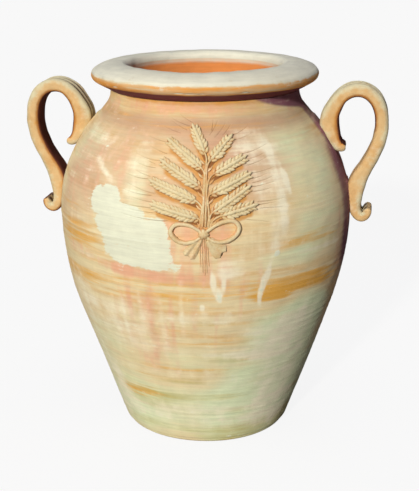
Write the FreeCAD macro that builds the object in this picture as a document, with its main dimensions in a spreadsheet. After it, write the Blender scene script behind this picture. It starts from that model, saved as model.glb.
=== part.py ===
"""Two-handled terracotta garden amphora with a wheat sheaf and bow in relief.

The jar is modelled the way it is made: a base slab, two wall sections and a neck collar luted on
top of each other, a thick rolled lip, two pulled strap handles, and the moulded sprigs of the
ornament, each pressed on to the outside of the wall.

Frame: millimetres, +Z up, origin at the centre of the foot, the ornament facing -Y, the handles
along +X and -X, turned a little about Z. An azimuth is measured from -Y towards +X.
"""
import FreeCAD, Part
import math
import os
import Sketcher

# Driving dimensions of the jar: alias, value in millimetres or degrees, and what it measures.
DIMENSIONS = (
    ("jar_height", 600.0, "foot to the top of the lip"),
    ("belly_radius", 235.5, "largest outer radius"),
    ("belly_height", 365.0, "height of the largest radius, where the two wall sections meet"),
    ("wall_thickness", 20.0, "fired wall, measured square to its face"),
    ("flank_curve", 470.0, "radius of the lower wall's bulge in section"),
    ("flank_angle", 19.3, "lean of the straight flank from the vertical"),
    ("shoulder_curve", 212.0, "radius of the shoulder in section"),
    ("shoulder_angle", 39.8, "lean of the shoulder from the vertical where the collar starts"),
    ("throat_curve", 37.0, "radius of the hollow between shoulder and neck"),
    ("neck_radius", 150.5, "outer radius of the neck"),
    ("joint_bevel", 8.0, "rise of the luted belly joint towards the inside"),
    ("base_thickness", 24.0, "base slab"),
    ("foot_rounding", 9.0, "worn edge of the foot"),
    ("drain_radius", 12.5, "drain hole in the base"),
    ("lip_radius", 180.0, "outer radius of the lip"),
    ("lip_nose", 11.0, "rounding of the lip's outer edge"),
    ("lip_nose_height", 581.5, "height of the lip's widest line"),
    ("lip_crown_radius", 142.5, "radius at which the lip's flat top starts to fall away"),
    ("lip_slope", 29.0, "slope of the lip's underside"),
    ("mouth_radius", 121.0, "clear radius of the mouth"),
    ("mouth_rounding", 12.0, "rounding of the mouth's inner edge"),
    ("mouth_land", 22.0, "straight part of the mouth"),
    ("handle_turn", 8.5, "turn of the handle line about Z"),
    ("handle_thickness", 21.0, "strap handle, through the strap"),
    ("handle_width", 45.0, "strap handle, across the strap"),
    ("handle_rounding", 8.0, "long edges of the strap"),
    ("groove_depth", 2.6, "two finger grooves along the strap's outer face"),
    ("ear_width", 14.0, "widest part of a wheat ear"),
    ("ear_rise", 5.5, "height of a wheat ear above the wall"),
    ("stalk_thickness", 3.2, "one wheat stalk"),
    ("ribbon_width", 7.0, "ribbon of the bow's loops, on edge"),
    ("ribbon_rise", 4.5, "height of the ribbon above the wall"),
    ("tail_width", 13.0, "ribbon of the bow's tails, laid flat"),
    ("tail_rise", 2.8, "height of the tails above the wall"),
    ("knot_width", 17.0, "knot of the bow, across"),
    ("knot_rise", 7.0, "height of the knot above the wall"),
)

# Wheat ears: name, azimuth and height of the stalk end, azimuth and height of the tip.
EARS = (
    ("left_1", 0.0, 492.0, -6.8, 527.0),
    ("left_2", -1.6, 472.0, -18.5, 509.0),
    ("left_3", -1.9, 447.0, -19.6, 483.0),
    ("left_4", -3.8, 429.0, -22.8, 455.0),
    ("left_5", -2.4, 404.0, -21.0, 424.0),
    ("right_1", 1.8, 480.0, 12.3, 512.0),
    ("right_2", 3.0, 464.0, 17.4, 486.0),
    ("right_3", 1.4, 437.0, 18.1, 464.0),
    ("right_4", 1.8, 411.0, 16.8, 446.0),
    ("right_5", 6.4, 409.5, 19.0, 420.5),
)
GRAIN_PITCH = 8.0
GRAIN_SCALLOP = 0.10

# Middle line of a handle, from the curl on the shoulder to the hook on the belly, as distance
# from the jar's axis and height, and the strap's thickness there as a share of the full one.
HANDLE_ROUTE = (
    (225.0, 472.5, 0.66), (218.5, 470.0, 0.74), (211.5, 475.0, 0.86),
    (205.5, 486.0, 1.08), (200.5, 500.0, 1.38), (199.5, 514.0, 1.40), (204.5, 528.5, 1.22),
    (213.0, 543.5, 1.08), (225.5, 555.0, 1.00), (242.0, 559.5, 1.00), (260.5, 554.5, 1.00),
    (275.0, 537.5, 1.00), (281.0, 514.0, 1.00), (279.5, 486.0, 1.00), (270.5, 459.0, 1.00),
    (258.0, 435.5, 1.06), (248.5, 417.0, 1.25), (244.0, 402.0, 1.30), (243.0, 388.0, 1.12),
    (243.5, 374.0, 0.94), (247.0, 362.5, 0.82), (254.5, 357.0, 0.74), (261.5, 360.5, 0.68),
    (264.0, 368.0, 0.62), (263.5, 372.0, 0.58),
)
HANDLE_SECTIONS = 56
HANDLE_END_CAP = 0.25
GROOVE_STEPS = 6
BEND_WEIGHT = 14.0
FINE_STEPS = 400

# Knot of the bow, and the routes of its ribbons as azimuth and height on the wall.
KNOT_AZIMUTH = -0.8
KNOT_HEIGHT = 382.0
LOOP_LEFT_ROUTE = (
    (-2.0, 386.0), (-4.6, 392.5), (-8.0, 396.0), (-11.2, 393.5), (-12.4, 385.0),
    (-10.8, 374.0), (-7.4, 368.8), (-4.2, 371.5), (-2.0, 377.0),
)
LOOP_RIGHT_ROUTE = (
    (0.4, 386.0), (3.4, 394.5), (7.2, 400.0), (10.4, 398.5), (11.6, 390.0),
    (9.8, 377.0), (6.2, 370.4), (2.9, 371.6), (0.4, 377.0),
)
TAIL_LEFT_ROUTE = ((-2.8, 372.0), (-3.5, 362.0), (-5.2, 345.0))
TAIL_RIGHT_ROUTE = ((2.3, 370.0), (3.5, 362.0), (6.2, 351.0))
STALK_REACH = 20.0
STALK_GAP = 1.5
TRUNK_ROUTE = ((0.2, 487.0), (0.1, 462.0), (-0.3, 430.0), (-0.7, 392.0))
STALK_END_STARTS = (-2.0, -1.35, -0.7, -0.05, 0.6)
STALK_END_TIPS = ((-1.9, 331.0), (-1.15, 322.0), (-0.4, 318.0), (0.35, 322.0), (1.1, 332.0))
STALK_END_TOP = 376.0


# --------------------------------------------------------------------------- the sheet

def make_sheet(doc):
    """Put the driving dimensions in a sheet, one aliased cell each."""
    sheet = doc.addObject("Spreadsheet::Sheet", "dims")
    for row, (alias, size, meaning) in enumerate(DIMENSIONS, start=1):
        sheet.set(f"A{row}", meaning)
        sheet.set(f"B{row}", str(size))
        sheet.setAlias(f"B{row}", alias)
    doc.recompute()
    return sheet


def evaluate(sheet, expression):
    """Number that an expression on the sheet gives."""
    result = sheet.evalExpression(expression)
    return float(getattr(result, "Value", result))


def read(sheet, alias):
    """Number in one aliased cell."""
    return float(getattr(sheet, alias))


# --------------------------------------------------------------------------- wall geometry
# The wall's section is a chain of tangent arcs and straights. Each function gives a corner of
# that chain as a pair of expressions on the sheet, for a face set in by the inset given: "0" is
# the outside of the jar and WALL its inside.

WALL = "dims.wall_thickness"
FLANK_AXIS = "(dims.belly_radius - dims.flank_curve)"
SHOULDER_AXIS = "(dims.belly_radius - dims.shoulder_curve)"


def flank_corner(inset):
    """Where the flank's straight runs into the bulge."""
    curve = f"(dims.flank_curve - {inset})"
    return (f"{FLANK_AXIS} + {curve} * cos(dims.flank_angle)",
            f"dims.belly_height - {curve} * sin(dims.flank_angle)")


def flank_at(height, inset):
    """Point of the flank's straight at a height near the foot."""
    corner_r, corner_z = flank_corner(inset)
    return f"({corner_r}) - (({corner_z}) - {height}) * tan(dims.flank_angle)", height


def belly_corner(inset):
    """Where bulge and shoulder meet, on the line of the largest radius."""
    return f"dims.belly_radius - {inset}", "dims.belly_height"


def bevel_corner():
    """Inner end of the luted belly joint, a little way up the inside of the shoulder."""
    return (f"{SHOULDER_AXIS} + sqrt((dims.shoulder_curve - {WALL}) ^ 2 - dims.joint_bevel ^ 2)",
            "dims.belly_height + dims.joint_bevel")


def shoulder_corner(inset):
    """Where the shoulder's curve ends and the collar starts."""
    curve = f"(dims.shoulder_curve - {inset})"
    return (f"{SHOULDER_AXIS} + {curve} * cos(dims.shoulder_angle)",
            f"dims.belly_height + {curve} * sin(dims.shoulder_angle)")


def throat_height():
    """Height of the centre of the hollow between shoulder and neck.

    The hollow's arc touches the collar's straight, so its centre lies throat_curve outside it.
    """
    return (f"dims.belly_height + (dims.shoulder_curve + dims.throat_curve - (dims.neck_radius"
            f" + dims.throat_curve - {SHOULDER_AXIS}) * cos(dims.shoulder_angle))"
            f" / sin(dims.shoulder_angle)")


def throat_corner(inset):
    """Where the collar's straight runs into the hollow under the neck."""
    curve = f"(dims.throat_curve + {inset})"
    return (f"dims.neck_radius + dims.throat_curve - {curve} * cos(dims.shoulder_angle)",
            f"({throat_height()}) - {curve} * sin(dims.shoulder_angle)")


def neck_corner(inset):
    """Where the hollow runs into the upright neck."""
    return f"dims.neck_radius - {inset}", throat_height()


def lip_underside_corner():
    """Where the lip's sloping underside runs into its nose."""
    return ("dims.lip_radius - dims.lip_nose + dims.lip_nose * sin(dims.lip_slope)",
            "dims.lip_nose_height - dims.lip_nose * cos(dims.lip_slope)")


def lip_foot_height():
    """Height at which the lip sits on the neck."""
    corner_r, corner_z = lip_underside_corner()
    return f"({corner_z}) - (({corner_r}) - dims.neck_radius) * tan(dims.lip_slope)"


def crown_curve():
    """Radius of the lip's crown: it is level at lip_crown_radius and touches the nose's arc."""
    reach = "(dims.lip_radius - dims.lip_nose - dims.lip_crown_radius)"
    rise = "(dims.jar_height - dims.lip_nose_height)"
    return f"(({reach} ^ 2 + {rise} ^ 2 - dims.lip_nose ^ 2) / (2 * ({rise} - dims.lip_nose)))"


def crown_corner():
    """Where the lip's crown runs into its nose."""
    share = f"dims.lip_nose / ({crown_curve()} - dims.lip_nose)"
    reach = "(dims.lip_radius - dims.lip_nose - dims.lip_crown_radius)"
    rise = f"({crown_curve()} - dims.jar_height + dims.lip_nose_height)"
    return (f"dims.lip_radius - dims.lip_nose + {reach} * {share}",
            f"dims.lip_nose_height + {rise} * {share}")


# --------------------------------------------------------------------------- turned pieces

def arc_between(start, end, radius, turn):
    """Arc of the given radius between two points of a sketch; turn +1 goes anticlockwise."""
    chord = end - start
    middle = (start + end) / 2
    square = FreeCAD.Vector(-chord.y, chord.x, 0).normalize()
    sagitta_arm = math.sqrt(max(radius ** 2 - chord.Length ** 2 / 4, 0.0))
    centre = middle + square * (turn * sagitta_arm)
    first, last = (start, end) if turn > 0 else (end, start)
    angles = [math.atan2(point.y - centre.y, point.x - centre.x) for point in (first, last)]
    circle = Part.Circle(centre, FreeCAD.Vector(0, 0, 1), radius)
    return Part.ArcOfCircle(circle, angles[0], angles[1])


def bind(sketch, constraint, expression):
    """Add a dimension to a sketch and drive it from the sheet."""
    index = sketch.addConstraint(constraint)
    sketch.setExpression(f"Constraints[{index}]", expression)


def bind_corner(sketch, edge, end, corner):
    """Hold one end of an edge at a corner given as two expressions."""
    across, up = corner
    if across == "0":
        sketch.addConstraint(Sketcher.Constraint("PointOnObject", edge, end, -2))
    else:
        size = evaluate(sketch.Document.dims, across)
        bind(sketch, Sketcher.Constraint("DistanceX", -1, 1, edge, end, size), across)
    if up == "0":
        sketch.addConstraint(Sketcher.Constraint("PointOnObject", edge, end, -1))
    else:
        size = evaluate(sketch.Document.dims, up)
        bind(sketch, Sketcher.Constraint("DistanceY", -1, 1, edge, end, size), up)


def draw_profile(sketch, outline):
    """Draw a closed outline: each entry is a corner and the edge that leaves it.

    The edge is None for a straight, or (radius expression, turn) for an arc.
    """
    sheet = sketch.Document.dims
    points = [FreeCAD.Vector(evaluate(sheet, r), evaluate(sheet, z), 0) for (r, z), _ in outline]
    ends = []
    for index, ((_, _), edge) in enumerate(outline):
        start, end = points[index], points[(index + 1) % len(points)]
        if edge is None:
            ends.append((sketch.addGeometry(Part.LineSegment(start, end)), 1, 2))
        else:
            radius, turn = edge
            size = evaluate(sheet, radius)
            number = sketch.addGeometry(arc_between(start, end, size, turn))
            bind(sketch, Sketcher.Constraint("Radius", number, size), radius)
            ends.append((number, 1, 2) if turn > 0 else (number, 2, 1))
    for index, (number, first, _) in enumerate(ends):
        before, _, last = ends[index - 1]
        sketch.addConstraint(Sketcher.Constraint("Coincident", before, last, number, first))
        bind_corner(sketch, number, first, outline[index][0])


def origin_feature(body, role):
    """Plane or axis of a body's own origin."""
    return next(item for item in body.Origin.OriginFeatures if item.Role == role)


def new_sketch(body, name, plane):
    """Sketch on one of the body's own origin planes."""
    sketch = body.newObject("Sketcher::SketchObject", name)
    sketch.AttachmentSupport = (origin_feature(body, plane), [""])
    sketch.MapMode = "FlatFace"
    return sketch


def turned_body(doc, label, outline):
    """Body made by turning an outline about the jar's axis."""
    body = doc.addObject("PartDesign::Body", label)
    body.Label = label
    sketch = new_sketch(body, f"{label}_section", "XZ_Plane")
    draw_profile(sketch, outline)
    turn = body.newObject("PartDesign::Revolution", f"{label}_turn")
    turn.Profile = sketch
    turn.ReferenceAxis = (sketch, ["V_Axis"])
    turn.Angle = 360.0
    doc.recompute()
    return body


def make_base_disc(doc):
    """Base slab with a worn foot edge and a drain hole."""
    thickness = "dims.base_thickness"
    body = turned_body(doc, "base_disc", (
        (("0", "0"), None),
        (flank_at("0", "0"), None),
        (flank_at(thickness, "0"), None),
        (("0", thickness), None),
    ))
    slab = body.Tip
    foot_edge = next(
        index for index, edge in enumerate(slab.Shape.Edges, start=1)
        if edge.BoundBox.ZMax < 1e-6 and edge.Closed)
    rounding = body.newObject("PartDesign::Fillet", "foot_rounding")
    rounding.Base = (slab, [f"Edge{foot_edge}"])
    rounding.setExpression("Radius", "dims.foot_rounding")
    doc.recompute()
    sketch = new_sketch(body, "drain_section", "XY_Plane")
    circle = Part.Circle(FreeCAD.Vector(), FreeCAD.Vector(0, 0, 1), read(doc.dims, "drain_radius"))
    number = sketch.addGeometry(circle)
    sketch.addConstraint(Sketcher.Constraint("Coincident", number, 3, -1, 1))
    bind(sketch, Sketcher.Constraint("Radius", number, circle.Radius), "dims.drain_radius")
    drain = body.newObject("PartDesign::Pocket", "drain_hole")
    drain.Profile = sketch
    drain.Type = "ThroughAll"
    drain.Reversed = True
    doc.recompute()
    return body


def make_lower_wall(doc):
    """Wall section from the base slab to the belly joint."""
    thickness = "dims.base_thickness"
    return turned_body(doc, "lower_wall", (
        (flank_at(thickness, "0"), None),
        (flank_corner("0"), ("dims.flank_curve", 1)),
        (belly_corner("0"), None),
        (bevel_corner(), (f"dims.shoulder_curve - {WALL}", -1)),
        (belly_corner(WALL), (f"dims.flank_curve - {WALL}", -1)),
        (flank_corner(WALL), None),
        (flank_at(thickness, WALL), None),
    ))


def make_outer_form(doc):
    """Full solid inside the outer surface: the shape that everything on the wall is cut to."""
    return turned_body(doc, "outer_form", (
        (("0", "0"), None),
        (flank_at("0", "0"), None),
        (flank_corner("0"), ("dims.flank_curve", 1)),
        (belly_corner("0"), ("dims.shoulder_curve", 1)),
        (shoulder_corner("0"), None),
        (throat_corner("0"), ("dims.throat_curve", -1)),
        (neck_corner("0"), None),
        (("dims.neck_radius", lip_foot_height()), None),
        (("0", lip_foot_height()), None),
    ))


def make_upper_wall(doc):
    """Wall section from the belly joint to the collar."""
    return turned_body(doc, "upper_wall", (
        (belly_corner("0"), ("dims.shoulder_curve", 1)),
        (shoulder_corner("0"), None),
        (shoulder_corner(WALL), (f"dims.shoulder_curve - {WALL}", -1)),
        (bevel_corner(), None),
    ))


def make_neck_collar(doc):
    """Collar that closes the shoulder in to the upright neck."""
    return turned_body(doc, "neck_collar", (
        (shoulder_corner("0"), None),
        (throat_corner("0"), ("dims.throat_curve", -1)),
        (neck_corner("0"), None),
        (("dims.neck_radius", lip_foot_height()), None),
        ((f"dims.neck_radius - {WALL}", lip_foot_height()), None),
        (neck_corner(WALL), (f"dims.throat_curve + {WALL}", 1)),
        (throat_corner(WALL), None),
        (shoulder_corner(WALL), None),
    ))


def make_rim_lip(doc):
    """Thick rolled lip with a straight land inside the mouth."""
    land_top = "dims.jar_height - dims.mouth_rounding"
    return turned_body(doc, "rim_lip", (
        (("dims.neck_radius", lip_foot_height()), None),
        (lip_underside_corner(), ("dims.lip_nose", 1)),
        (crown_corner(), (crown_curve(), 1)),
        (("dims.lip_crown_radius", "dims.jar_height"), None),
        (("dims.mouth_radius + dims.mouth_rounding", "dims.jar_height"), ("dims.mouth_rounding", 1)),
        (("dims.mouth_radius", land_top), None),
        (("dims.mouth_radius", f"{land_top} - dims.mouth_land"), None),
        ((f"dims.neck_radius - {WALL}", lip_foot_height()), None),
    ))


# --------------------------------------------------------------------------- the outer surface

class JarSurface:
    """Outside of the jar from the flank to the collar, to lay the ornament on."""

    def __init__(self, sheet):
        self.belly_radius = read(sheet, "belly_radius")
        self.belly_height = read(sheet, "belly_height")
        self.flank_curve = read(sheet, "flank_curve")
        self.shoulder_curve = read(sheet, "shoulder_curve")
        self.lean = math.radians(read(sheet, "shoulder_angle"))
        self.collar_r, self.collar_z = (evaluate(sheet, part) for part in shoulder_corner("0"))

    def radius(self, height):
        """Outer radius at a height between the straight flank and the hollow of the neck."""
        if height > self.collar_z:
            return self.collar_r - (height - self.collar_z) * math.tan(self.lean)
        curve = self.shoulder_curve if height > self.belly_height else self.flank_curve
        drop = curve - math.sqrt(curve ** 2 - (height - self.belly_height) ** 2)
        return self.belly_radius - drop

    def point(self, azimuth, height):
        """Point on the surface."""
        angle = math.radians(azimuth)
        radius = self.radius(height)
        return FreeCAD.Vector(radius * math.sin(angle), -radius * math.cos(angle), height)

    def normal(self, azimuth, height):
        """Unit vector out of the surface."""
        step = 0.5
        angle = math.radians(azimuth)
        slope = (self.radius(height + step) - self.radius(height - step)) / (2 * step)
        return FreeCAD.Vector(math.sin(angle), -math.cos(angle), -slope).normalize()


def smooth_curve(points):
    """Spline through points."""
    curve = Part.BSplineCurve()
    curve.interpolate(points)
    return curve


def stations(curve, count):
    """Parameters of sections along a curve, closer together where it bends, with their shares.

    The spacing is even in length + BEND_WEIGHT * angle turned.
    """
    first, last = curve.FirstParameter, curve.LastParameter
    fine = [first + (last - first) * step / FINE_STEPS for step in range(FINE_STEPS + 1)]
    points = [curve.value(parameter) for parameter in fine]
    tangents = [FreeCAD.Vector(*curve.tangent(parameter)[0]) for parameter in fine]
    measure = [0.0]
    for index in range(FINE_STEPS):
        length = (points[index + 1] - points[index]).Length
        turned = tangents[index].getAngle(tangents[index + 1])
        measure.append(measure[-1] + length + BEND_WEIGHT * turned)
    chosen, index = [], 0
    for number in range(count):
        target = measure[-1] * number / (count - 1)
        while index < FINE_STEPS - 1 and measure[index + 1] < target:
            index += 1
        part = (target - measure[index]) / (measure[index + 1] - measure[index])
        chosen.append((number / (count - 1), fine[index] + part * (fine[index + 1] - fine[index])))
    return chosen


def between(places, position):
    """Value at a position, straight between (position, value) pairs in rising order."""
    for (before, low), (after, high) in zip(places, places[1:]):
        if position <= after:
            return low + (high - low) * (position - before) / (after - before)
    return places[-1][1]


def ring(centre, side, rise, half_width, half_height, corners=12):
    """Closed oval wire about a centre."""
    points = []
    for index in range(corners):
        angle = 2 * math.pi * index / corners
        points.append(centre + side * (half_width * math.cos(angle))
                      + rise * (half_height * math.sin(angle)))
    oval = Part.BSplineCurve()
    oval.interpolate(Points=points, PeriodicFlag=True)
    return Part.Wire(oval.toShape())


def bead(surface, route, half_width, half_height, sections):
    """Oval bead laid along a route on the wall.

    The half sizes are functions of the share of the length. The bead's middle line lies on the
    wall, so the inner half of it is cut away when the bead is seated.
    """
    curve = smooth_curve([surface.point(azimuth, height) for azimuth, height in route])
    wires = []
    for share, parameter in stations(curve, sections):
        centre = curve.value(parameter)
        along = FreeCAD.Vector(*curve.tangent(parameter)[0])
        azimuth = math.degrees(math.atan2(centre.x, -centre.y))
        out = surface.normal(azimuth, centre.z)
        side = along.cross(out).normalize()
        wires.append(ring(surface.point(azimuth, centre.z), side, side.cross(along),
                          half_width(share), half_height(share)))
    return Part.makeLoft(wires, True, True)


# --------------------------------------------------------------------------- handles

def strap_ring(centre, out, across, thickness, width, rounding, groove):
    """Section of the strap: rounded edges, and two finger grooves in the outer face."""
    half_thickness, side = thickness / 2, width / 2
    corner = min(rounding, 0.8 * half_thickness)
    flat, shoulder = side - corner, half_thickness - corner
    bulge = corner * math.sqrt(0.5)

    def place(sideways, level):
        """Point of the section."""
        return centre + across * sideways + out * level

    def rounded(turn_across, turn_out):
        """Corner arc, given in the quadrant of the two signs, from the flat face to the side."""
        middle = place(turn_across * (flat + bulge), turn_out * (shoulder + bulge))
        return Part.Arc(place(turn_across * flat, turn_out * half_thickness), middle,
                        place(turn_across * side, turn_out * shoulder)).toShape()

    face = Part.BSplineCurve()
    steps = [step / GROOVE_STEPS for step in range(-GROOVE_STEPS, GROOVE_STEPS + 1)]
    face.interpolate([place(share * flat, half_thickness
                            - groove * (0.5 - 0.5 * math.cos(2 * math.pi * share)))
                      for share in steps])
    return Part.Wire(Part.sortEdges([
        face.toShape(), rounded(1, 1),
        Part.makeLine(place(side, shoulder), place(side, -shoulder)), rounded(1, -1),
        Part.makeLine(place(flat, -half_thickness), place(-flat, -half_thickness)),
        rounded(-1, -1), Part.makeLine(place(-side, -shoulder), place(-side, shoulder)),
        rounded(-1, 1)])[0])


def strap_handle(sheet):
    """Pulled strap bent to its loop, standing in the XZ plane on the +X side."""
    thickness, width = read(sheet, "handle_thickness"), read(sheet, "handle_width")
    rounding, groove = read(sheet, "handle_rounding"), read(sheet, "groove_depth")
    curve = smooth_curve([FreeCAD.Vector(r, 0, z) for r, z, _ in HANDLE_ROUTE])
    places = [(curve.parameter(FreeCAD.Vector(r, 0, z)), scale) for r, z, scale in HANDLE_ROUTE]
    across = FreeCAD.Vector(0, 1, 0)
    wires = []
    for share, parameter in stations(curve, HANDLE_SECTIONS):
        along = FreeCAD.Vector(*curve.tangent(parameter)[0])
        scale = between(places, parameter)
        end_gap = min(share, 1 - share) * (HANDLE_SECTIONS - 1)
        cap = 1.0 if end_gap >= 1 else 1 - HANDLE_END_CAP * (1 - end_gap)
        wires.append(strap_ring(curve.value(parameter), across.cross(along), across,
                                thickness * scale * cap, width * (0.9 + 0.1 * cap),
                                rounding, groove * min(scale, 1.0)))
    return Part.makeLoft(wires, True, True)


# --------------------------------------------------------------------------- ornament

def wheat_ear(surface, sheet, base_azimuth, base_height, tip_azimuth, tip_height):
    """Wheat ear that swells above its stalk, tapers to its tip and is scalloped by its grains."""
    middle = ((base_azimuth + tip_azimuth) / 2, (base_height + tip_height) / 2)
    route = ((base_azimuth, base_height), middle, (tip_azimuth, tip_height))
    reach = (surface.point(*route[2]) - surface.point(*route[0])).Length
    rows = max(5, round(reach / GRAIN_PITCH))
    half_width, rise = read(sheet, "ear_width") / 2, read(sheet, "ear_rise")

    def swell(share):
        """Plain outline of the ear: quick swelling, long taper, blunt tip."""
        body = min(1.0, 0.34 + 2.6 * share) * (1.0 - 0.42 * share ** 2.2)
        scallop = 1.0 + GRAIN_SCALLOP * math.cos(2 * math.pi * (rows * share - 0.5))
        return body * scallop

    return bead(surface, route, lambda share: half_width * swell(share),
                lambda share: rise * swell(share), 2 * rows + 1)


def stalk(surface, start, end, thickness):
    """Straight wheat stalk between two places on the wall."""
    middle = ((start[0] + end[0]) / 2, (start[1] + end[1]) / 2)
    return bead(surface, (start, middle, end), lambda share: thickness / 2,
                lambda share: 0.8 * thickness, 5)


def stalk_bundle(surface, sheet):
    """The sheaf's trunk with a short stalk to each ear, ending just clear of the ear."""
    thickness = read(sheet, "stalk_thickness")
    bundle = bead(surface, TRUNK_ROUTE, lambda share: thickness * (0.7 + 0.9 * share),
                  lambda share: thickness * (0.8 + 0.3 * share), 9)
    trunk = [(height, azimuth) for azimuth, height in reversed(TRUNK_ROUTE)]
    lowest = TRUNK_ROUTE[-1][1] + 5.0
    for _, azimuth, height, tip_azimuth, tip_height in EARS:
        root_height = max(height - STALK_REACH, lowest)
        root = (between(trunk, root_height), root_height)
        run = surface.point(tip_azimuth, tip_height) - surface.point(azimuth, height)
        gap = STALK_GAP / run.Length
        end = (azimuth - gap * (tip_azimuth - azimuth), height - gap * (tip_height - height))
        bundle = bundle.fuse(stalk(surface, root, end, thickness))
    return bundle


def stalk_ends(surface, sheet):
    """Cut ends of the stalks, side by side below the knot."""
    thickness = 0.8 * read(sheet, "stalk_thickness")
    fan = [stalk(surface, (start, STALK_END_TOP), tip, thickness)
           for start, tip in zip(STALK_END_STARTS, STALK_END_TIPS)]
    return Part.makeCompound(fan)


def bow_loop(surface, sheet, route):
    """Loop of ribbon standing on edge."""
    half_width, rise = read(sheet, "ribbon_width") / 2, read(sheet, "ribbon_rise")
    return bead(surface, route, lambda share: half_width * (0.72 + 0.28 * math.sin(math.pi * share)),
                lambda share: rise * (0.8 + 0.2 * math.sin(math.pi * share)), 21)


def bow_tail(surface, sheet, route):
    """Loose end of ribbon laid flat, widening to its cut end."""
    half_width, rise = read(sheet, "tail_width") / 2, read(sheet, "tail_rise")
    return bead(surface, route, lambda share: half_width * (0.55 + 0.45 * share ** 0.7),
                lambda share: rise, 7)


def bow_knot(surface, sheet):
    """Knot that ties the sheaf: a low dome."""
    width, rise = read(sheet, "knot_width"), read(sheet, "knot_rise")
    dome = Part.makeSphere(1.0)
    stretch = FreeCAD.Matrix()
    stretch.scale(width / 2, rise, 0.46 * width)
    dome = dome.transformGeometry(stretch)
    place = FreeCAD.Placement(surface.point(KNOT_AZIMUTH, KNOT_HEIGHT),
                              FreeCAD.Rotation(FreeCAD.Vector(0, 0, 1), KNOT_AZIMUTH))
    dome.Placement = place
    return dome


# --------------------------------------------------------------------------- assembly

def blank(doc, label, shape, placement=None):
    """Hold a free-formed blank in the document."""
    feature = doc.addObject("Part::Feature", f"{label}_blank")
    feature.Shape = shape
    if placement is not None:
        feature.Placement = placement
    return feature


def seat(doc, label, shape, neighbours, placement=None):
    """Cut a blank to sit flush on its neighbours, one after another, and label the result."""
    seated = blank(doc, label, shape, placement)
    for neighbour in neighbours:
        cut = doc.addObject("Part::Cut", f"{label}_on_{neighbour.Label}")
        cut.Base = seated
        cut.Tool = neighbour
        cut.Refine = False
        seated = cut
    seated.Label = label
    return seated


def make_handles(doc, form):
    """Both handles, turned about Z and seated on the wall."""
    shape = strap_handle(doc.dims)
    turn = read(doc.dims, "handle_turn")
    handles = []
    for label, angle in (("handle_right", -turn), ("handle_left", 180.0 - turn)):
        rotation = FreeCAD.Rotation(FreeCAD.Vector(0, 0, 1), angle)
        placement = FreeCAD.Placement(FreeCAD.Vector(), rotation)
        handles.append(seat(doc, label, shape, [form], placement))
    return handles


def make_bow(doc, surface, form):
    """Knot, loops and tails of the bow, and the stalk ends below the knot."""
    sheet = doc.dims
    knot = seat(doc, "bow_knot", bow_knot(surface, sheet), [form])
    loops = {}
    for side, route in (("left", LOOP_LEFT_ROUTE), ("right", LOOP_RIGHT_ROUTE)):
        loops[side] = seat(doc, f"bow_loop_{side}", bow_loop(surface, sheet, route), [form, knot])
    tails = []
    for side, route in (("left", TAIL_LEFT_ROUTE), ("right", TAIL_RIGHT_ROUTE)):
        neighbours = [form, knot, loops[side]]
        tails.append(seat(doc, f"bow_tail_{side}", bow_tail(surface, sheet, route), neighbours))
    ribbons = [*loops.values(), *tails]
    ends = seat(doc, "stalk_ends", stalk_ends(surface, sheet), [form, knot, *ribbons])
    return [knot, *ribbons, ends]


def make_sheaf(doc, surface, form):
    """Wheat ears and the bundle of stalks that carries them."""
    sheet = doc.dims
    pieces = []
    for name, *ends in EARS:
        pieces.append(seat(doc, f"wheat_ear_{name}", wheat_ear(surface, sheet, *ends), [form]))
    knot = doc.getObjectsByLabel("bow_knot")[0]
    pieces.append(seat(doc, "stalk_bundle", stalk_bundle(surface, sheet), [form, knot]))
    return pieces


def check(doc, pieces):
    """Stop with a message if any object failed or any sub-part is not a sound solid."""
    for item in doc.Objects:
        if "Invalid" in item.State or "Error" in item.State:
            raise RuntimeError(f"{item.Name} failed: {item.State}")
    for piece in pieces:
        shape = piece.Shape
        if shape.isNull() or not shape.isValid() or not shape.Solids:
            raise RuntimeError(f"{piece.Label} has no sound solid")


def export(pieces):
    """Write one STEP file for each sub-part."""
    os.makedirs("parts", exist_ok=True)
    for piece in pieces:
        piece.Shape.exportStep(os.path.join("parts", f"{piece.Label}.step"))


def main():
    """Build the jar, check it and write its sub-parts."""
    doc = FreeCAD.newDocument("amphora")
    make_sheet(doc)
    base = make_base_disc(doc)
    lower, upper, collar = make_lower_wall(doc), make_upper_wall(doc), make_neck_collar(doc)
    lip = make_rim_lip(doc)
    form = make_outer_form(doc)
    surface = JarSurface(doc.dims)
    pieces = [base, lower, upper, collar, lip]
    pieces += make_handles(doc, form)
    pieces += make_bow(doc, surface, form)
    pieces += make_sheaf(doc, surface, form)
    doc.recompute()
    check(doc, pieces)
    export(pieces)
    for piece in pieces:
        box = piece.Shape.BoundBox
        print(f"{piece.Label:18s} solids {len(piece.Shape.Solids)} volume {piece.Shape.Volume:12.1f}"
              f" z {box.ZMin:7.1f} {box.ZMax:7.1f} x {box.XMin:7.1f} {box.XMax:7.1f}"
              f" y {box.YMin:7.1f} {box.YMax:7.1f}")


main()
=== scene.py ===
"""Looks of a two-handled terracotta garden amphora with a wheat sheaf and bow in relief.

Every sub-assembly is a class that builds its meshes as numpy grids and dresses them. Lengths are
in millimetres until a mesh is made. A place on the wall is an azimuth in degrees, from -Y towards
+X, and a height above the floor.
"""

import logging
import math
from collections.abc import Callable
from dataclasses import dataclass
from enum import Enum

import bpy
import numpy as np
from mathutils import Matrix, Vector

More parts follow.
